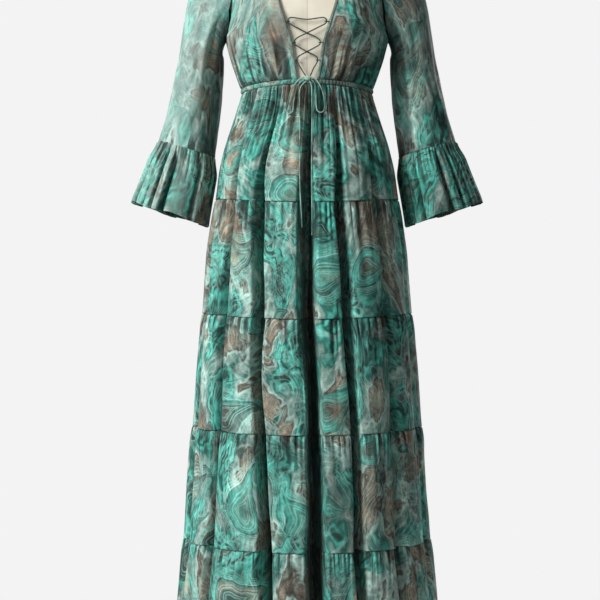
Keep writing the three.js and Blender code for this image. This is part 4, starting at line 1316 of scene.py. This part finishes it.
sleeve = {
    "columns": ("z", "x", "halfWidth", "halfDepth", "dip"),
    "rows": [(1222, 211, 45, 55, 0), (1160, 219, 50, 56, 4), (1105, 227, 53, 57, 9), (1062, 236, 55, 58, 14),
             (1036, 242, 57, 59, 15)],
    "soften": 12,
    "foot": 1036,
    "y": 16,
    "points": 132,
    "capRows": 33,
    "capBow": {"over": 60, "under": 13, "down": 17, "downUnder": 23},
    "headGap": 1.1,
    "seamGap": 0.3,
    "softenings": 30,  # of the bend where the cap meets the arm
    "softRows": 8,
    "arcRadius": 58,  # that turns are measured at, for the gathers
    "pull": 16,  # mm up from the ruffle over which the gathers fade
    "gathered": 1.3,
    "shade": 1.15,  # painted shade on the part that the long fold turns towards the body
    "dim": 0.52,  # painted shade on the lit part, on the right sleeve
    "paintedLight": 0.36,  # painted light on the lit part, on the left sleeve
    "gathers": {"pitch": 364.4 / 46, "lengths": (8, 26), "depth": 1.0, "seed": 640},
}
# Folds: turn (0 inside, 90 front, 180 outside), half-width in degrees, depth, top, bottom, lean
sleeveFolds = [
    (62, 15, 8.5, 1400, 1020, 0), (100, 9, 4.0, 1330, 1150, 30), (128, 8, 3.0, 1210, 1045, -24),
    (36, 9, 4.5, 1190, 1030, 14), (84, 7, 3.4, 1120, 1036, -16), (20, 8, 3.6, 1290, 1150, 10),
    (160, 9, 3.2, 1290, 1120, 20), (205, 10, 3.8, 1200, 1050, -18), (238, 12, 4.6, 1380, 1150, 16),
    (275, 12, 6.2, 1330, 1040, 8), (312, 11, 4.4, 1250, 1040, -12), (340, 9, 3.6, 1220, 1080, 12),
]


def armholeLoop(count):
    first = int(np.searchsorted(panelRows, bodice["sideShare"]))
    line = np.concatenate([frontPoints[first:, -1], backPoints[first:, 0][::-1][1:]])
    return along(line, farAlong(line), count + 1)


def sleeveRing(table, z, turn, out):
    x, halfWidth, halfDepth, dip = [at(table, name, z, sleeve["soften"]) for name in sleeve["columns"][1:]]
    inwards = (halfWidth + out) * np.cos(turn)
    y = sleeve["y"] - (halfDepth + out) * np.sin(turn)
    return np.stack([x - inwards, y, z - dip * inwards / halfWidth], axis=-1)


def foldsAt(turn, z):
    out = 0
    for place, width, depth, top, bottom, lean in sleeveFolds:
        middle = place + lean * (z - (top + bottom) / 2) / (top - bottom)
        fold = np.exp(-(turnedFrom(np.degrees(turn), middle) / width) ** 2)
        out = out - depth * fold * window(z, bottom, top, 0.35, 10)
    return out


def litPart(across):
    # 1 on the part of a sleeve that faces the front and the outside, where painted light goes on the left
    # sleeve and painted shade on the right one
    return smoothstep(across, 55, 80) * (1 - smoothstep(across, 180, 230))


def meetItself(values, turn, blend):
    return lerp(values, values[:, :1], smoothstep(turn, 2 * np.pi - blend, 2 * np.pi))


def sleeveCap(foot, turn):
    # From the sleeve's top ring up to the armhole
    head = armholeLoop(sleeve["points"])
    inwards = unit((head.mean(axis=0) - head) * np.array([0, 1, 1]))
    head = head + inwards * sleeve["seamGap"] + np.array([sleeve["headGap"], 0, 0])
    over = (1 - np.cos(turn[0])) / 2
    bow = sleeve["capBow"]
    outside, lower = lerp(bow["under"], bow["over"], over), lerp(bow["downUnder"], bow["down"], over)
    lift = np.stack([outside, 0 * over, -lower], axis=1)
    share = np.linspace(1, 0, sleeve["capRows"] + 1)[1:, None, None]
    cap = (1 - share) ** 2 * head + 2 * share * (1 - share) * (head + lift) + share ** 2 * foot
    outwards = unit((cap - np.array([sleeve["rows"][0][1], sleeve["y"], 0])) * np.array([1, 1, 0]))
    return cap + outwards * foldsAt(turn, cap[..., 2])[..., None] * (1 - smoothstep(share, 0.7, 1.0))


def sleevePoints():
    turn = np.linspace(0, 2 * np.pi, sleeve["points"] + 1)[None, :]
    z = np.concatenate([[1034.5, 1036.5, 1039, 1043], np.linspace(1050, 1222, 40)])[:, None]
    up = z - sleeve["foot"]
    small = 0.8 * drift(np.degrees(turn) + 0.3 * up, 610, 5, 60) * smoothstep(up, 5, 40)
    fine = gathers(turn * sleeve["arcRadius"], up, sleeve["gathers"], 0) - 0.5
    pull = sleeve["gathered"] * fine * smoothstep(up, -2, 2)
    pulled = np.exp(-np.clip(up, 0, None) / sleeve["pull"])
    small = meetItself(small + pull * pulled, turn, 0.25)
    rings = sleeveRing(sleeve, z, turn, foldsAt(turn, z) + small)
    points = np.concatenate([rings, sleeveCap(rings[-1], turn)])
    first, last = len(rings) - 1 - sleeve["softRows"], len(rings) + sleeve["softRows"]
    for _ in range(sleeve["softenings"]):
        part = points[first:last]
        part[1:-1] = part[1:-1] * 0.5 + (part[:-2] + part[2:]) * 0.25
    points[:, -1] = points[:, 0]
    pulled = np.concatenate([pulled, np.zeros((sleeve["capRows"], 1))])
    across = np.degrees(turn)
    # Painted shade on the inner part of the sleeve, which faces the body
    inner = (1 - smoothstep(across, 54, 70)) * smoothstep(across, -1, 0.5) + smoothstep(across, 320, 358)
    return points, pulled, sleeve["shade"] * inner + 0 * pulled, litPart(across)


ruffle = {
    "columns": ("z", "x", "halfWidth", "halfDepth", "dip", "fold"),
    "rows": [(1036, 242, 57, 59, 15, 7), (1006, 248, 63, 64, 17, 15), (906, 276, 73, 74, 23, 19)],
    "soften": 10,
    "folds": 17,
    "sharpness": 9,
    "middle": 0.38,  # of a fold, between its crest and its foot
    "points": 340,
    "length": 130,
    "pull": 46,
    # painted shade on the lit part of the right ruffle
    "dim": 0.4,
    # painted light on the lit part of the left ruffle
    "paintedLight": 0.3,
    "gathers": {"pitch": 364.4 / 44, "lengths": (22, 90), "depth": 3.4, "seed": 660},
}


def rufflePoints():
    turn = np.linspace(0, 2 * np.pi, ruffle["points"] + 1)[None, :]
    near, end = [-2, 0, 1.5, 3.5, 6, 9, 13, 18, 24, 31], [125.5, 128, ruffle["length"]]
    down = np.concatenate([near, np.linspace(39, 122, 18), end])[::-1, None]
    z = sleeve["foot"] - down
    uneven = turn + 0.2 * np.sin(2 * turn + 0.7) + 0.1 * np.sin(5 * turn + 2.1)
    groove = np.abs(np.cos(ruffle["folds"] / 2 * uneven)) ** ruffle["sharpness"]
    groove = groove * (0.85 + 0.35 * np.sin(4 * turn + 1.0) + 0.4 * np.sin(turn * 7 + 0.4))
    wave = at(ruffle, "fold", z) * (ruffle["middle"] - groove)
    # Painted shade in the grooves of the ruffle's folds
    valley = np.clip(groove, 0, 0.9) * smoothstep(down, 0, 30)
    fine = gathers(turn * sleeve["arcRadius"], down, ruffle["gathers"], 0) - ruffle["gathers"]["depth"] / 2
    fine = meetItself(fine, turn, 0.1)
    tucked = 1.5 * (1 - smoothstep(down, 0, 4))
    out = wave * smoothstep(down, 0, 40) + fine * smoothstep(down, -1, 4) - tucked
    points = sleeveRing(ruffle, z, turn, out)
    points[..., 2] += 2.5 * np.sin(5 * turn + 0.6) * smoothstep(down, 40, 130)
    points[:, -1] = points[:, 0]
    return points, down[:, 0], valley, litPart(np.degrees(turn))


def sleevePair(side, arm, cuff, starts, inner, grooves, pulled, down):
    clothPiece(f"sleeve_{side}", arm, starts[0], f"bodice_front_{side}", "hung", closed=True,
               gathered=pulled, valley=inner)
    clothPiece(f"sleeve_ruffle_{side}", cuff, starts[1], f"sleeve_{side}", closed=True,
               gathered=np.exp(-np.clip(down, 0, None) / ruffle["pull"])[:, None], valley=grooves,
               edges=ruffle["length"] - down)


def sleeves():
    # Painted light makes the left sleeve paler and painted shade makes the right one dim
    arm, pulled, shaded, lit = sleevePoints()
    cuff, down, valley, litCuff = rufflePoints()
    sleevePair("right", arm, cuff, ((26.3, 0.4), (31.6, 0.8)), np.maximum(shaded, sleeve["dim"] * lit),
               np.maximum(valley, ruffle["dim"] * litCuff), pulled, down)
    sleevePair("left", mirroredPoints(arm), mirroredPoints(cuff), ((28.8, 1.1), (33.9, 0.1)),
               (shaded - sleeve["paintedLight"] * lit)[:, ::-1], (valley - ruffle["paintedLight"] * litCuff)[:, ::-1],
               pulled, down)


sleeves()
print("sleeves made")


# Studio: a pale floor that fades into the backdrop, a soft key from the front left and an even fill

studio = {
    "backdrop": srgb(243, 243, 243),
    "fill": 0.12,
    "lamps": {  # place, size and power
        "key": ((-3.2, -2.5, 2.5), 1.9, 250),
        "low": ((0.5, -3.8, 1.9), 1.2, 18),
        "behind": ((2.4, 3.4, 2.4), 1.8, 130),
        "beside": ((-2.6, 3.2, 1.8), 1.6, 60),
    },
    "target": (0, 0, 0.85),
    "floor": 0.8,
    "fade": (0.25, 0.78),  # from the middle of the floor
    "floorDrop": 0.0005,
}


def floorMaterial():
    made, tree, shader = newMaterial("floor")
    place = source(tree, "ShaderNodeTexCoord")["Object"]
    speck = noise(place, 90.0, dimensions="3D")
    plug(shader, {"Base Color": mixed(speck, srgb(232, 232, 232), srgb(238, 238, 238)),
                  "Alpha": 1.0 - smooth(lengthOf(place), *studio["fade"]), "Roughness": 0.8})
    return made


def makeFloor():
    bm = bmesh.new()
    bmesh.ops.create_circle(bm, cap_ends=True, segments=64, radius=studio["floor"])
    mesh = bpy.data.meshes.new("floor")
    bm.to_mesh(mesh)
    bm.free()
    mesh.materials.append(floorMaterial())
    floor = bpy.data.objects.new("floor", mesh)
    floor.location.z = -studio["floorDrop"]
    bpy.context.collection.objects.link(floor)


def makeLights():
    world = bpy.data.worlds.new("studio")
    bpy.context.scene.world = world
    world.use_nodes = True
    tree = world.node_tree
    tree.nodes.clear()
    seen = source(tree, "ShaderNodeLightPath")["Is Camera Ray"]
    light = nodeIn(tree, "ShaderNodeBackground",
                   {"Color": studio["backdrop"], "Strength": either(seen, studio["fill"], 1.0)})
    nodeIn(tree, "ShaderNodeOutputWorld", {"Surface": Output(light.outputs[0])})
    for name, (place, size, power) in studio["lamps"].items():
        lamp = bpy.data.objects.new(name, bpy.data.lights.new(name, "AREA"))
        lamp.data.size = size
        lamp.data.energy = power
        lamp.location = place
        aim = Vector(studio["target"]) - lamp.location
        lamp.rotation_euler = aim.to_track_quat("-Z", "Y").to_euler()
        bpy.context.collection.objects.link(lamp)
    bpy.context.scene.view_settings.view_transform = "Standard"


makeFloor()
makeLights()
print("studio made")
